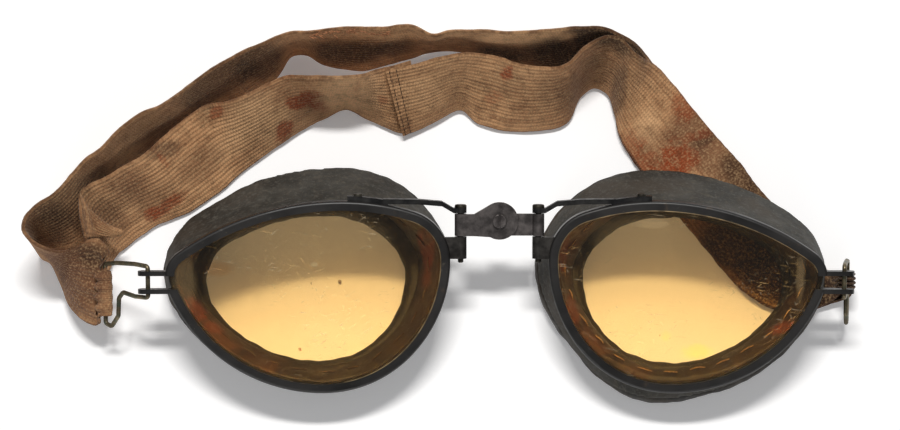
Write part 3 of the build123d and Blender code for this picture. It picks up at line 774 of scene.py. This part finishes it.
def lining_stitches(side, lining, material):
    """Long stitches round a lining, laid on its inner face."""
    graph = bpy.context.evaluated_depsgraph_get()
    tree = BVHTree.FromObject(lining, graph)
    middle, facing = lens_plane(side)
    ring = []
    for number in range(STITCH_RAYS):
        angle = math.tau * number / STITCH_RAYS
        way = Vector((math.cos(angle), math.sin(angle), 0.0))
        spread = np.array(way) * CUP_RADIUS
        top = middle[2] - (facing[0] * spread[0] + facing[1] * spread[1]) / facing[2]
        level = WALL_FOOT + (top - WALL_FOOT) * STITCH_RISE
        start = Vector((middle[0], middle[1], level)) * MM
        place, normal, _, _ = tree.ray_cast(start, way)
        if place:
            ring.append((np.array(place) / MM, np.array(normal)))
    places = np.array([item[0] for item in ring])
    normals = np.array([item[1] for item in ring])
    steps = np.linalg.norm(np.diff(places, axis=0, append=places[:1]), axis=1)
    lengths = np.concatenate([[0.0], np.cumsum(steps)])
    count = int(lengths[-1] / STITCH_PITCH)
    paths = []
    for number in range(count):
        size = STITCH_PITCH * STITCH_SHARE * (0.85 + 0.3 * rng.random())
        start = lengths[-1] * number / count
        path = []
        for share in np.linspace(0, 1, 6):
            at = int(np.searchsorted(lengths, start + size * share)) % len(places)
            path.append(places[at] + normals[at] * arch(share, 0.05, 0.24))
        paths.append(path)
    return stitched(side + "_lining_stitches", paths, STITCH_RADIUS, material)


BEAD_RADIUS = 0.2
# Height of the bead over the middle of the lens, in mm
BEAD_LIFT = 1.35
# Start and end angles in degrees of the worn edge inside each rim, painted bright as a highlight
BEAD_ARCS = {"left": (-72, 42), "right": (8, 172)}


def rim_bead(side, material):
    """Thin pale edge between a rim and its lens: worn metal, painted bright as a highlight."""
    graph = bpy.context.evaluated_depsgraph_get()
    tree = BVHTree.FromObject(frame["nodes"][side + "_rim"], graph)
    middle, facing = lens_plane(side)
    across = np.cross(facing, (0.0, 1.0, 0.0))
    across /= np.linalg.norm(across)
    across *= math.copysign(1.0, across[0])
    over = np.cross(facing, across)
    start = middle + facing * BEAD_LIFT
    path = []
    for angle in np.radians(np.linspace(*BEAD_ARCS[side], 90)):
        way = across * math.cos(angle) + over * math.sin(angle)
        place, _, _, far = tree.ray_cast(Vector(start) * MM, Vector(way))
        if place:
            path.append(start + way * (far / MM - BEAD_RADIUS * 0.5))
    return stitched(side + "_rim_bead", [path], BEAD_RADIUS, material)


# Leather pieces: name, node that they stand for, size of the mesh in mm, material, slot
LEATHERS = (
    ("wall_leather", "cup_wall", 0.5, wall_leather, "cup_leather"),
    ("lining_leather", "lining", 0.6, lining_leather, "lining_leather"),
    ("face_pad", "cushion", 0.6, pad_leather, "cushion_leather"),
)


def dress_cups():
    """Leather walls, linings and padded cushions in place of their plain solids."""
    yarns = {
        "left": thread("left_stitch_thread", (84, 64, 46)),
        "right": thread("right_stitch_thread", (176, 142, 100)),
    }
    # Pale worn metal for the rims' inner edges, painted bright as a highlight.
    worn = metal("worn_edge", (96, 80, 56), (150, 128, 92), 0.5, 0.4)
    for side in ("left", "right"):
        pieces = []
        for part, node, voxel, leather, slot in LEATHERS:
            piece = copied(f"{side}_{part}", f"{side}_{node}", voxel, leather(side))
            creased(piece, side, node)
            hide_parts(f"{side}_{node}")
            if node == "cushion":
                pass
            elif node == "lining":
                lining = piece
            pieces.append(piece)
        stitches = lining_stitches(side, lining, yarns[side])
        bead = rim_bead(side, worn)
        for piece in (*pieces, stitches, bead):
            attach(piece, side + "_cup")


# Strap


# Thickness of the webbing where it lies over itself, in mm
STRAP_THICKNESS = 1.3
STRAP_GAP = 0.2
STRAP_STEP = STRAP_THICKNESS + STRAP_GAP
# Rows of the front band's right part that the rear band runs under
SHADOW_FIRST_ROW = 11
SHADOW_END_ROW = 22
# How much of its last row's reach the left end keeps under the seam
LAP_SHARE = 0.7
# Rows of the strap read off the photograph: x, y and height in mm of the lower edge, then
# of the upper edge. Where an edge is hidden, its place is a guess.
LEFT_END_PLACES = (
    (98, 318, 6.6, 93, 264, 14.4),
    (100, 300, 4.0, 88, 250, 15.4),
    (106, 276, 2.0, 84, 232, 18.0),
    (116, 256, 1.0, 80, 212, 20.2),
    (127, 247, 1.0, 80, 192, 20.0),
)
REAR_PLACES = (
    (97, 325, 11.0, 107, 250, 20.0),
    (90, 324, 9.5, 99, 239, 21.4),
    (80, 318, 8.0, 88, 240, 21.8),
    (69, 305, 5.0, 78, 245, 22.5),
    (61, 285, 3.0, 65, 250, 23.5),
    (51, 264, 1.0, 48, 249, 24.0),
    (43, 259, 0.8, 33, 241, 25.0),
    (41, 254, 0.8, 23, 229, 25.2),
    (44, 251, 0.8, 25, 217, 25.2),
    (55, 252, 0.8, 33, 208, 24.4),
    (72, 250, 0.8, 43, 200, 23.2),
    (94, 234, 0.8, 60, 186, 23.0),
    (110, 200, 0.8, 82, 161, 24.6),
    (125, 182, 0.8, 100, 148, 25.2),
    (141, 167, 0.8, 117, 130, 25.0),
    (160, 147, 0.8, 140, 113, 25.2),
    (182, 131, 0.8, 160, 105, 25.4),
    (210, 113, 0.8, 190, 84, 25.4),
    (244, 103, 0.8, 225, 60, 24.6),
    (258, 92, 0.8, 242, 51, 24.8),
    (271, 83, 0.8, 260, 44, 25.0),
    (281, 71, 0.8, 276, 37, 25.4),
    (291, 56, 0.8, 292, 32, 25.6),
    (307, 54, 0.8, 308, 31, 25.6),
    (322, 63, 0.8, 325, 29, 25.2),
    (345, 69, 0.8, 345, 27, 25.0),
    (366, 70, 0.8, 365, 27, 24.8),
    (386, 65, 0.8, 386, 28, 25.4),
    (400, 61, 0.8, 400, 25, 25.6),
    (412, 58, 0.8, 412, 25, 25.6),
    (430, 52, 0.8, 432, 35, 25.6),
    (450, 51, 0.8, 449, 31, 25.8),
    (480, 56, 0.8, 477, 31, 25.8),
    (506, 62, 0.8, 504, 32, 25.8),
    (545, 69, 0.8, 540, 30, 25.2),
    (564, 66, 0.8, 560, 28.5, 25.4),
    (576, 62, 0.8, 578, 26.5, 25.6),
    (597, 74, 0.8, 602, 27, 24.6),
    (612, 93, 0.8, 628, 38, 23.4),
)
# Rows of the front band and of the loop's right end, in mm from the bridge pivot: the lower
# edge's x, y and height, then the upper edge's
FRONT_LEFT_ROWS = (
    (-101, 3.5, 0.8, -111, 15.5, 20),
    (-90, 8.3, 0.8, -101, 23.2, 17.5),
    (-83, 13.3, 0.8, -93.3, 31.3, 14.6),
    (-77.5, 18.2, 0.8, -85.5, 36.6, 15.3),
    (-69.7, 24.6, 0.8, -74.3, 37.8, 21.4),
    (-58.5, 32.5, 0.8, -61.3, 43.8, 22.6),
    (-52, 36.5, 0.8, -52.8, 42.9, 24.5),
    (-45.2, 39.2, 0.8, -45.3, 42.5, 25),
    (-38.4, 36.2, 0.8, -39.3, 43.6, 24.4),
)
FRONT_RIGHT_ROWS = (
    (-28.2, 31.8, 0.8, -33.1, 47, 19.9),
    (-19.9, 35.5, 0.8, -22.1, 49, 21.6),
    (-11.3, 39.5, 0.8, -12.6, 50.5, 23.1),
    (-5.1, 34.5, 0.8, -4.1, 51.5, 18.6),
    (6.8, 32.2, 0.8, 7.4, 47.5, 20.4),
    (15, 33, 0.8, 15.3, 46.5, 21.9),
    (21, 35.5, 0.8, 20.5, 48, 22.1),
    (24.8, 43, 0.8, 25, 52, 24),
    (29, 46, 0.8, 31, 55, 24.1),
    (33.2, 43.5, 1, 36, 54.5, 23.1),
    (35, 37, 1.5, 40.5, 50.5, 21),
    (36.2, 31, 2.4, 46, 50, 12.5),
    (39.2, 25, 2.5, 52.5, 45.5, 6),
    (43, 19.5, 2.5, 58, 39.3, 3),
    (49, 12.3, 2.55, 64.5, 31, 2.55),
    (55, 4.5, 2.55, 71.2, 22.8, 2.55),
    (61, -3.2, 2.55, 78, 14, 2.55),
    (66.8, -10.5, 2.55, 84.3, 5.5, 2.55),
    (73, -16.8, 2.55, 89.3, -2, 2.55),
    (80, -21, 2.55, 92.6, -7.5, 2.55),
    (88, -22.2, 2.7, 95, -9.2, 2.7),
    (94.5, -20.5, 3.1, 97, -10.4, 3.4),
    (97.4, -19.2, 4.1, 98.2, -11, 5.1),
)
REAR_END_ROWS = (
    (100, -19, 2.3, 100.8, -11.2, 3.7),
    (101.9, -18.6, 4.5, 102.2, -11.4, 6.8),
)
WIRE_RADIUS = 0.65
WRAP_CLEARANCE = 0.15
# The webbing leaves a ring's bar this far beyond it, in mm
WRAP_LEAD = 1.6
# Where the webbing's two edges lie along a ring's bar: it is bunched on the right
WRAP_SHARES = {"left": (-0.66, 0.13), "right": (-0.28, 0.06)}
WRAP_ANGLES = (-90.0, -135.0, 180.0, 135.0, 90.0)
RING_REACH = 16.5
RING_DROPS = {"left": 38.0, "right": 80.0}
RING_ROLL = 3.0


def picture_rows(places):
    return np.array([[seen(*row[:3]), seen(*row[3:])] for row in places])


def table_rows(table):
    return np.array(table).reshape(-1, 2, 3)


def across_rows(rows):
    """Direction through the webbing at each row."""
    middles = rows.mean(1)
    before = np.vstack([middles[:1], middles[:-1]])
    after = np.vstack([middles[1:], middles[-1:]])
    normals = np.cross(after - before, rows[:, 1] - rows[:, 0])
    return normals / np.linalg.norm(normals, axis=1, keepdims=True)


def shifted(rows, amounts):
    return rows + (across_rows(rows) * np.array(amounts)[:, None])[:, None, :]


def ring_wrap(side):
    """Rows of webbing round a ring's far bar, from under the bar to over it."""
    joint = JOINTS[side + "_ring_swivel"]
    pin = np.array(joint["pos_m"]) / MM - SHIFT
    up = np.array(joint["axis"])
    drop = math.radians(RING_DROPS[side])
    sign = -1.0 if side == "left" else 1.0
    normal = np.cross(np.array((1.0, 0.0, 0.0)), up)
    roll = math.radians(RING_ROLL)
    along = np.array((sign * math.cos(roll), 0.0, 0.0)) + normal * math.sin(roll)
    out = normal * math.cos(roll) - np.array((sign * math.sin(roll), 0.0, 0.0))
    reach = along * math.cos(drop) - out * math.sin(drop)
    lift = along * math.sin(drop) + out * math.cos(drop)
    radius = WIRE_RADIUS + WRAP_CLEARANCE + STRAP_THICKNESS / 2
    places = [(WRAP_LEAD, -radius)]
    for angle in WRAP_ANGLES:
        turn = math.radians(angle)
        places.append((radius * math.cos(turn), radius * math.sin(turn)))
    places.append((WRAP_LEAD, radius))
    rows = []
    for away, over in places:
        row = []
        for share in WRAP_SHARES[side]:
            point = pin + reach * (RING_REACH + away) + up * share * RING_REACH
            row.append(point + lift * over)
        rows.append(row)
    return np.array(rows)


def strap_rows():
    """All rows of the strap, from the seam by the left ring and the right ring back to it."""
    left = table_rows(FRONT_LEFT_ROWS + FRONT_RIGHT_ROWS[:2])
    left = np.vstack([picture_rows(LEFT_END_PLACES), left])
    left[-1] = left[-2] + (left[-1] - left[-2]) * LAP_SHARE
    right = table_rows(FRONT_RIGHT_ROWS)
    laps = [STRAP_STEP] * 2 + [STRAP_STEP / 2] + [0.0] * (len(right) - 3)
    behind = shifted(right, [-STRAP_STEP] * len(right))[SHADOW_FIRST_ROW:SHADOW_END_ROW]
    front = shifted(right, laps)
    stretches = [
        left[::-1],
        ring_wrap("left"),
        picture_rows(REAR_PLACES),
        behind,
        table_rows(REAR_END_ROWS),
        ring_wrap("right")[::-1],
        front[::-1],
    ]
    return np.vstack(stretches)


def run_lengths(points):
    """Length of a line up to each of its points."""
    steps = np.linalg.norm(np.diff(points, axis=0), axis=1)
    return np.concatenate([[0.0], np.cumsum(steps)])


def smooth_rows(rows, step):
    """Rows a step apart on a centripetal Catmull-Rom line through the given rows."""
    points = rows.reshape(len(rows), 6)
    gaps = np.linalg.norm(np.diff(points, axis=0), axis=1)
    knots = np.concatenate([[0.0], np.cumsum(np.sqrt(np.maximum(gaps, 1e-6)))])
    ends = [2 * points[0] - points[1], 2 * points[-1] - points[-2]]
    padded = np.vstack([ends[0], points, ends[1]])
    first = knots[0] - (knots[1] - knots[0])
    last = knots[-1] + (knots[-1] - knots[-2])
    knots = np.concatenate([[first], knots, [last]])
    lines = []
    for number, count in enumerate(np.maximum(1, np.ceil(gaps / step)).astype(int)):
        lines.extend(catmull(padded, knots, number, part / count) for part in range(count))
    return np.array(lines + [points[-1]]).reshape(-1, 2, 3)


def catmull(padded, knots, number, share):
    p0, p1, p2, p3 = padded[number : number + 4]
    t0, t1, t2, t3 = knots[number : number + 4]
    t = t1 + (t2 - t1) * share
    a1 = (t1 - t) / (t1 - t0) * p0 + (t - t0) / (t1 - t0) * p1
    a2 = (t2 - t) / (t2 - t1) * p1 + (t - t1) / (t2 - t1) * p2
    a3 = (t3 - t) / (t3 - t2) * p2 + (t - t2) / (t3 - t2) * p3
    b1 = (t2 - t) / (t2 - t0) * a1 + (t - t0) / (t2 - t0) * a2
    b2 = (t3 - t) / (t3 - t1) * a2 + (t - t1) / (t3 - t1) * a3
    return (t2 - t) / (t2 - t1) * b1 + (t - t1) / (t2 - t1) * b2


STRAP_CELL = 1.4
RIB_STEPS = 3
RIB_HEIGHT = 0.05
WEB_THICKNESS = 1.05
# How far the edges wander, the webbing bows and its borders curl, in mm
EDGE_WAVE = 0.4
BOW = 0.9
RUFFLE = 0.55
# Share of the width that curls at a border, and that is rounded at an edge
CURL_SHARE = 0.3
ROUND_SHARE = 0.02
# Gathers across the width near a ring, their depth and how far they run, in mm
PLEATS = 4.3
PLEAT_DEPTH = 1.05
PLEAT_REACH = 16.0
# Side in x and place in the photograph of each ring's bar
RING_SPOTS = ((1, (847, 296, 8)), (-1, (112, 293, 16)))


def wander(length, pace, row):
    return noise.noise(Vector((length * pace, row * 3.7 + 0.4, SEED)))


def ring_nearness(middles):
    """1 at the two rings, falling to 0 further along the strap than the pleats reach."""
    near = np.zeros(len(middles))
    lengths = run_lengths(middles)
    for sign, spot in RING_SPOTS:
        half = np.flatnonzero(middles[:, 0] * sign > 0)
        far = np.linalg.norm(middles[half] - seen(*spot), axis=1)
        at = lengths[half[int(np.argmin(far))]]
        near = np.maximum(near, np.clip(1 - np.abs(lengths - at) / PLEAT_REACH, 0, 1))
    return near


def strap_sections(lines):
    """Upper and lower face points of the webbing and their strip coordinates."""
    middles = lines.mean(1)
    lengths = run_lengths(middles)
    normals = across_rows(lines)
    near = ring_nearness(middles)
    shares = np.linspace(0.0, 1.0, RIBS * RIB_STEPS + 1)
    rounding = np.minimum(1.0, np.minimum(shares, 1 - shares) / ROUND_SHARE)
    rounding = np.sqrt(np.clip(1 - (1 - rounding) ** 2, 0.05, 1))
    ribs = np.abs(np.sin(math.pi * RIBS * shares)) * RIB_HEIGHT
    half = WEB_THICKNESS / 2 - RIB_HEIGHT
    pleats = np.sin(math.tau * PLEATS * shares)
    low_side = np.clip(1 - shares / CURL_SHARE, 0, 1) ** 2
    high_side = np.clip(1 - (1 - shares) / CURL_SHARE, 0, 1) ** 2
    rows = []
    for line, normal, length, close in zip(lines, normals, lengths, near):
        low_wave = wander(length, 0.16, 1) * EDGE_WAVE + wander(length, 0.6, 2) * 0.15
        high_wave = wander(length, 0.16, 3) * EDGE_WAVE + wander(length, 0.6, 4) * 0.2
        way = line[1] - line[0]
        size = np.linalg.norm(way)
        low = line[0] + way / size * max(low_wave, -0.2)
        high = line[1] + way / size * high_wave
        middle = low[None, :] + (high - low)[None, :] * shares[:, None]
        lift = np.sin(math.pi * shares) * wander(length, 0.05, 5) * BOW
        lift += low_side * wander(length, 0.13, 6) * RUFFLE
        lift += high_side * wander(length, 0.13, 7) * RUFFLE
        gather = min(close, 2.2 * (1 - close))
        lift += pleats * PLEAT_DEPTH * gather * (0.9 + wander(length, 0.2, 8))
        middle = middle + normal[None, :] * lift[:, None]
        depth = (half + ribs) * rounding
        upper = middle + normal[None, :] * depth[:, None]
        lower = middle - normal[None, :] * depth[:, None]
        rows.append((upper, lower))
    return np.array(rows), lengths, shares


def loop_normals(sections):
    """Normal at each point of the whole strap's skin, row by row round its section."""
    skin = np.concatenate([sections[:, 0], sections[:, 1, ::-1]], axis=1)
    along = np.gradient(skin, axis=0)
    around = np.roll(skin, -1, axis=1) - np.roll(skin, 1, axis=1)
    made = np.cross(along, around)
    return made / np.maximum(np.linalg.norm(made, axis=2, keepdims=True), 1e-9)


def strap_piece(name, sections, normals, lengths, shares, start, end, material):
    """A closed length of webbing between two rows, shaded as part of the whole."""
    part = sections[start : end + 1].copy()
    part[:, :, :, 2] = np.maximum(part[:, :, :, 2], 0.02)
    part = (part + SHIFT) * MM
    rows, _, wide, _ = part.shape
    loop = wide * 2
    points = []
    for row in part:
        points.extend(row[0])
        points.extend(row[1][::-1])
    faces = []
    for row in range(rows - 1):
        for number in range(loop):
            after = (number + 1) % loop
            a = row * loop + number
            b = row * loop + after
            faces.append((a, a + loop, b + loop, b))
    faces.append(tuple(range(loop)))
    faces.append(tuple(reversed(range((rows - 1) * loop, rows * loop))))
    made = add_mesh(name, points, faces, material)
    mesh = made.data
    strip = mesh.uv_layers.new(name="strip")
    across = np.concatenate([shares, shares[::-1]])
    where = np.zeros(len(mesh.loops), np.int32)
    mesh.loops.foreach_get("vertex_index", where)
    u = lengths[start : end + 1][where // loop] * MM
    v = across[where % loop]
    strip.data.foreach_set("uv", np.stack([u, v], 1).astype(np.float32).ravel())
    shading = normals[start : end + 1].reshape(-1, 3)[where]
    for cap in (mesh.polygons[-2], mesh.polygons[-1]):
        shading[list(cap.loop_indices)] = cap.normal
    mesh.normals_split_custom_set([tuple(normal) for normal in shading])
    return made


def rows_at(middles, start, end, x):
    """First row after start whose middle crosses x."""
    side = middles[start, 0] > x
    for number in range(start, end):
        if (middles[number, 0] > x) != side:
            return number
    return end


# The strap is cut at these distances from the bridge pivot, in mm
HINGE_EDGE = 26.0
PIVOT_EDGE = 8.0
# The cuts lean a little; margins in mm inside each piece from its cuts, wider at the sewn seam
CUT_SLACK = 2.0
SEAM_SLACK = 4.0
# The pieces in the order in which the webbing runs
STRAP_NAMES = (
    "strap_left_end",
    "strap_rear_left",
    "strap_rear_middle",
    "strap_rear_right",
    "strap_right_end",
    "strap_front_right",
    "strap_front_middle",
    "strap_front_left",
)


def build_strap():
    """The strap's pieces with their lengths, and the trimmings that go with two of them."""
    material = webbing()
    lines = smooth_rows(strap_rows(), STRAP_CELL)
    sections, lengths, shares = strap_sections(lines)
    normals = loop_normals(sections)
    middles = lines.mean(1)
    count = len(lines) - 1
    far_left = int(np.argmin(middles[: count // 2, 0]))
    far_right = int(np.argmax(middles[:, 0]))
    cuts = [0]
    for edge in (-HINGE_EDGE, -PIVOT_EDGE, PIVOT_EDGE, HINGE_EDGE):
        cuts.append(rows_at(middles, max(cuts[-1] + 1, far_left), far_right, edge))
    for edge in (HINGE_EDGE, PIVOT_EDGE, -PIVOT_EDGE):
        cuts.append(rows_at(middles, max(cuts[-1] + 1, far_right), count, edge))
    cuts.append(count)
    made = {}
    for name, start, end in zip(STRAP_NAMES, cuts, cuts[1:]):
        piece = strap_piece(name, sections, normals, lengths, shares, start, end, material)
        made[name] = (piece, lengths[end] - lengths[start])
    made["strap_fold_tongue"] = fold_tongue(material)
    trims = {"strap_front_left": seam_stitches(lines, sections), "strap_rear_left": frayed_edge()}
    return made, trims


# The fold of spare webbing over the left ring: rows as for the strap's left end
TONGUE_PLACES = (
    (88, 239, 18.0, 80, 192, 22.0),
    (95, 238, 16.0, 87, 205, 20.6),
    (103, 238, 14.5, 98, 216, 18.6),
    (113, 237, 12.5, 110, 225, 15.8),
    (121, 235, 11.0, 122, 230, 13.0),
)
TONGUE_CELL = 1.0
TONGUE_RIBS = 8
# Share of the webbing's width that the tongue's ribs cover
TONGUE_RIB_SHARE = 0.4


def fold_tongue(material):
    """The folded corner of webbing over the left ring, and its length."""
    lines = smooth_rows(picture_rows(TONGUE_PLACES), TONGUE_CELL)
    shares = np.linspace(0.0, 1.0, TONGUE_RIBS * RIB_STEPS + 1)
    rounding = np.clip(np.minimum(shares, 1 - shares) / 0.08, 0.25, 1)
    depth = rounding * WEB_THICKNESS / 2
    lengths = run_lengths(lines.mean(1))
    sections = []
    for line, normal, length in zip(lines, across_rows(lines), lengths):
        middle = line[0] + (line[1] - line[0]) * shares[:, None]
        lift = np.sin(math.pi * shares) * (0.5 + wander(length, 0.4, 11) * 0.5)
        middle = middle + normal * lift[:, None]
        sections.append((middle + normal * depth[:, None], middle - normal * depth[:, None]))
    sections = np.array(sections)
    normals = loop_normals(sections)
    last = len(sections) - 1
    ribs = shares * TONGUE_RIB_SHARE
    piece = strap_piece("strap_fold_tongue", sections, normals, lengths, ribs, 0, last, material)
    return piece, lengths[-1]


SEAM_ROWS = (-2, -4)
SEAM_STITCHES = 15
# Share of the pitch that a stitch covers
SEAM_SHARE = 0.6
THREAD_STEPS = 5
THREAD_RADIUS = 0.13
FRAYS = 44
# The overlap behind: its torn upper edge as read off the photograph
FRAY_EDGE = ((307, 31, 25.8), (322, 28, 25.6), (345, 27, 25.4), (366, 27, 25.2), (388, 28, 25.6))


def seam_stitches(lines, sections):
    """Two rows of stitches where the strap's ends lie over each other."""
    normals = across_rows(lines)
    paths = []
    for row in SEAM_ROWS:
        normal = normals[row]
        face = 0 if normal[2] > 0 else 1
        skin = sections[row, face]
        out = normal if face == 0 else -normal
        last = len(skin) - 1
        for number in range(SEAM_STITCHES):
            start = last * (number + 0.2) / SEAM_STITCHES
            end = start + last * SEAM_SHARE / SEAM_STITCHES
            path = []
            for share in np.linspace(0, 1, THREAD_STEPS):
                at = int(round(start + (end - start) * share))
                slant = np.array((0.15 * share, 0.0, 0.0))
                path.append(skin[min(at, last)] + out * arch(share, 0.02, 0.16) + SHIFT + slant)
            paths.append(path)
    yarn = thread("seam_thread", (70, 46, 30))
    return stitched("strap_seam_stitches", paths, THREAD_RADIUS, yarn)


def frayed_edge():
    """Loose ends along the torn edge of the overlap behind."""
    edge = np.array([seen(*place) for place in FRAY_EDGE]) + SHIFT
    paths = []
    for _ in range(FRAYS):
        at = rng.random() * (len(edge) - 1)
        first = int(at)
        start = edge[first] + (edge[first + 1] - edge[first]) * (at - first)
        heading = math.radians(rng.normal(-4, 16))
        size = 0.9 + 1.5 * rng.random()
        way = np.array((math.cos(heading), math.sin(heading), 0.0)) * size
        start = start + np.array((0.0, rng.normal(-1.5, 0.4), -0.6 * rng.random()))
        path = []
        for share in np.linspace(0, 1, THREAD_STEPS):
            path.append(start + way * share + np.array((0.0, 0.0, arch(share, 0.1, 0.35))))
        paths.append(path)
    yarn = thread("frayed_thread", (176, 116, 76))
    return stitched("strap_rear_threads", paths, THREAD_RADIUS * 1.2, yarn)


# Metals: colours where dark and light, roughness, and for the rings shine and patina
METALS = {
    "hinge_lug": ("lug_steel", (44, 42, 40), (72, 69, 66), 0.48),
    "brace": ("brace_steel", (38, 38, 39), (62, 61, 60), 0.42),
    "brace_rivet": ("rivet_steel", (52, 48, 42), (84, 80, 72), 0.5),
    "hinge_pin": ("pin_steel", (40, 38, 34), (74, 70, 62), 0.45),
    "strap_ring": ("ring_brass", (84, 76, 60), (128, 116, 92), 0.42, 0.8, (70, 84, 74)),
    "link": ("link_steel", (72, 68, 67), (112, 106, 104), 0.45),
    "washer": ("washer_steel", (60, 56, 52), (96, 92, 88), 0.4),
    "screw": ("screw_steel", (76, 71, 70), (120, 114, 112), 0.42),
}
SHARED_METALS = {
    "friction_washer": "washer",
    "spring_washer": "washer",
    "pivot_screw": "screw",
    "pivot_nut": "screw",
}


def dress_metal():
    """Materials for the solids that stay as they are."""
    materials = {"rim": enamel(), "lens": amber()}
    for key, recipe in METALS.items():
        materials[key] = metal(*recipe)
    for name, node in frame["nodes"].items():
        part = name.replace("left_", "").replace("right_", "")
        material = materials.get(SHARED_METALS.get(part, part))
        if material:
            node.data.materials.clear()
            node.data.materials.append(material)


def web_piece(piece, first, second, start, end):
    """Bakes a piece of webbing's place into its mesh; the two bodies and the x range it is given
    are not used.
    """
    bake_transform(piece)


BEND_START = PIVOT_EDGE + CUT_SLACK
PIVOT_BEND = PIVOT_EDGE - CUT_SLACK
LEFT_RING_BEND = ("left_ring", "left_cup", -113.0, -97.0)
LEFT_BEND = ("left_cup", "left_link", SEAM_SLACK - HINGE_EDGE, -BEND_START)
MIDDLE_BEND = ("left_link", "right_link", -PIVOT_BEND, PIVOT_BEND)
RIGHT_BEND = ("right_link", "right_cup", BEND_START, HINGE_EDGE - CUT_SLACK)
STRAP_BENDS = {
    "strap_left_end": LEFT_RING_BEND,
    "strap_fold_tongue": LEFT_RING_BEND,
    "strap_rear_left": LEFT_BEND,
    "strap_front_left": LEFT_BEND,
    "strap_rear_middle": MIDDLE_BEND,
    "strap_front_middle": MIDDLE_BEND,
    "strap_rear_right": RIGHT_BEND,
    "strap_front_right": RIGHT_BEND,
    "strap_right_end": ("right_cup", "right_ring", 90.0, 99.0),
}


def dress_strap():
    """The webbing in place of its plain solid, in pieces."""
    strap, trims = build_strap()
    for name, (piece, length) in strap.items():
        web_piece(piece, *STRAP_BENDS[name])
        if name in trims:
            web_piece(trims[name], *STRAP_BENDS[name])
    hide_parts("strap")


# Stage

FLOOR_COLOUR = (0.985, 0.985, 0.99, 1.0)
FLOOR_GLOW = (0.985, 0.985, 1.0, 1.0)
GLOW_STRENGTH = 0.15
FLOOR_SIZE = 3.0
FLOOR_DROP = 0.0002
WORLD_COLOUR = (0.97, 0.98, 1.0, 1.0)
WORLD_STRENGTH = 0.19
# Each lamp: size in m, energy and colour
KEY = ((0.4, 0.09), 11.0, (1.0, 0.985, 0.96))
FILL = ((1.0, 0.4), 3.2, (1.0, 0.99, 0.98))
KEY_WAY = (-0.4, 10.0, 25.0)
KEY_AIM = (0.02, 0.0, 0.0)
KEY_REACH = 1.2
FILL_PLACE = (-0.1, -1.1, 0.5)


def white_floor():
    g = Graph("table_white")
    diffuse = g.node("ShaderNodeBsdfDiffuse", Color=FLOOR_COLOUR)
    path = g.node("ShaderNodeLightPath")
    glow = g.node("ShaderNodeEmission", Color=FLOOR_GLOW, Strength=GLOW_STRENGTH)
    direct = g.math("MAXIMUM", path.outputs["Is Camera Ray"], path.outputs["Is Glossy Ray"])
    direct = g.math("MAXIMUM", direct, path.outputs["Is Transmission Ray"])
    lit = g.node("ShaderNodeAddShader", _0=diffuse.outputs[0], _1=glow.outputs[0])
    return g.switch(direct, diffuse, lit)


def rectangle(name, size, energy, colour, place, turn):
    """A rectangular lamp."""
    light = bpy.data.lights.new(name, "AREA")
    light.shape = "RECTANGLE"
    light.size = size[0]
    light.size_y = size[1]
    light.energy = energy
    light.color = colour
    lamp = placed(name, light)
    lamp.location = place
    lamp.rotation_euler = turn


def stage():
    far = FLOOR_SIZE
    corners = [(-far, -far, 0), (far, -far, 0), (far, far, 0), (-far, far, 0)]
    floor = add_mesh("floor", corners, [(0, 1, 2, 3)], white_floor(), smooth=False)
    floor.location.z = -FLOOR_DROP
    world = bpy.data.worlds.new("studio")
    bpy.context.scene.world = world
    world.use_nodes = True
    back = world.node_tree.nodes["Background"]
    back.inputs["Color"].default_value = WORLD_COLOUR
    back.inputs["Strength"].default_value = WORLD_STRENGTH
    way = Vector(KEY_WAY).normalized()
    side = Vector((1.0, 0.0, 0.0))
    side = (side - way * side.dot(way)).normalized()
    turn = Matrix((side, way.cross(side), way)).transposed()
    rectangle("key", *KEY, Vector(KEY_AIM) + way * KEY_REACH, turn.to_euler())
    way = Vector(FILL_PLACE)
    rectangle("fill", *FILL, way, way.to_track_quat("Z", "Y").to_euler())
    bpy.context.scene.view_settings.view_transform = "Standard"


def camera():
    data = bpy.data.cameras.new("camera")
    data.sensor_width = SENSOR
    data.lens = LENS
    data.clip_end = 20.0
    eye = placed("camera", data)
    eye.location = Vector(EYE) * MM
    eye.rotation_euler = Euler((math.radians(TILT), 0.0, 0.0))
    bpy.context.scene.camera = eye


camera()
stage()
dress_metal()
dress_cups()
dress_strap()
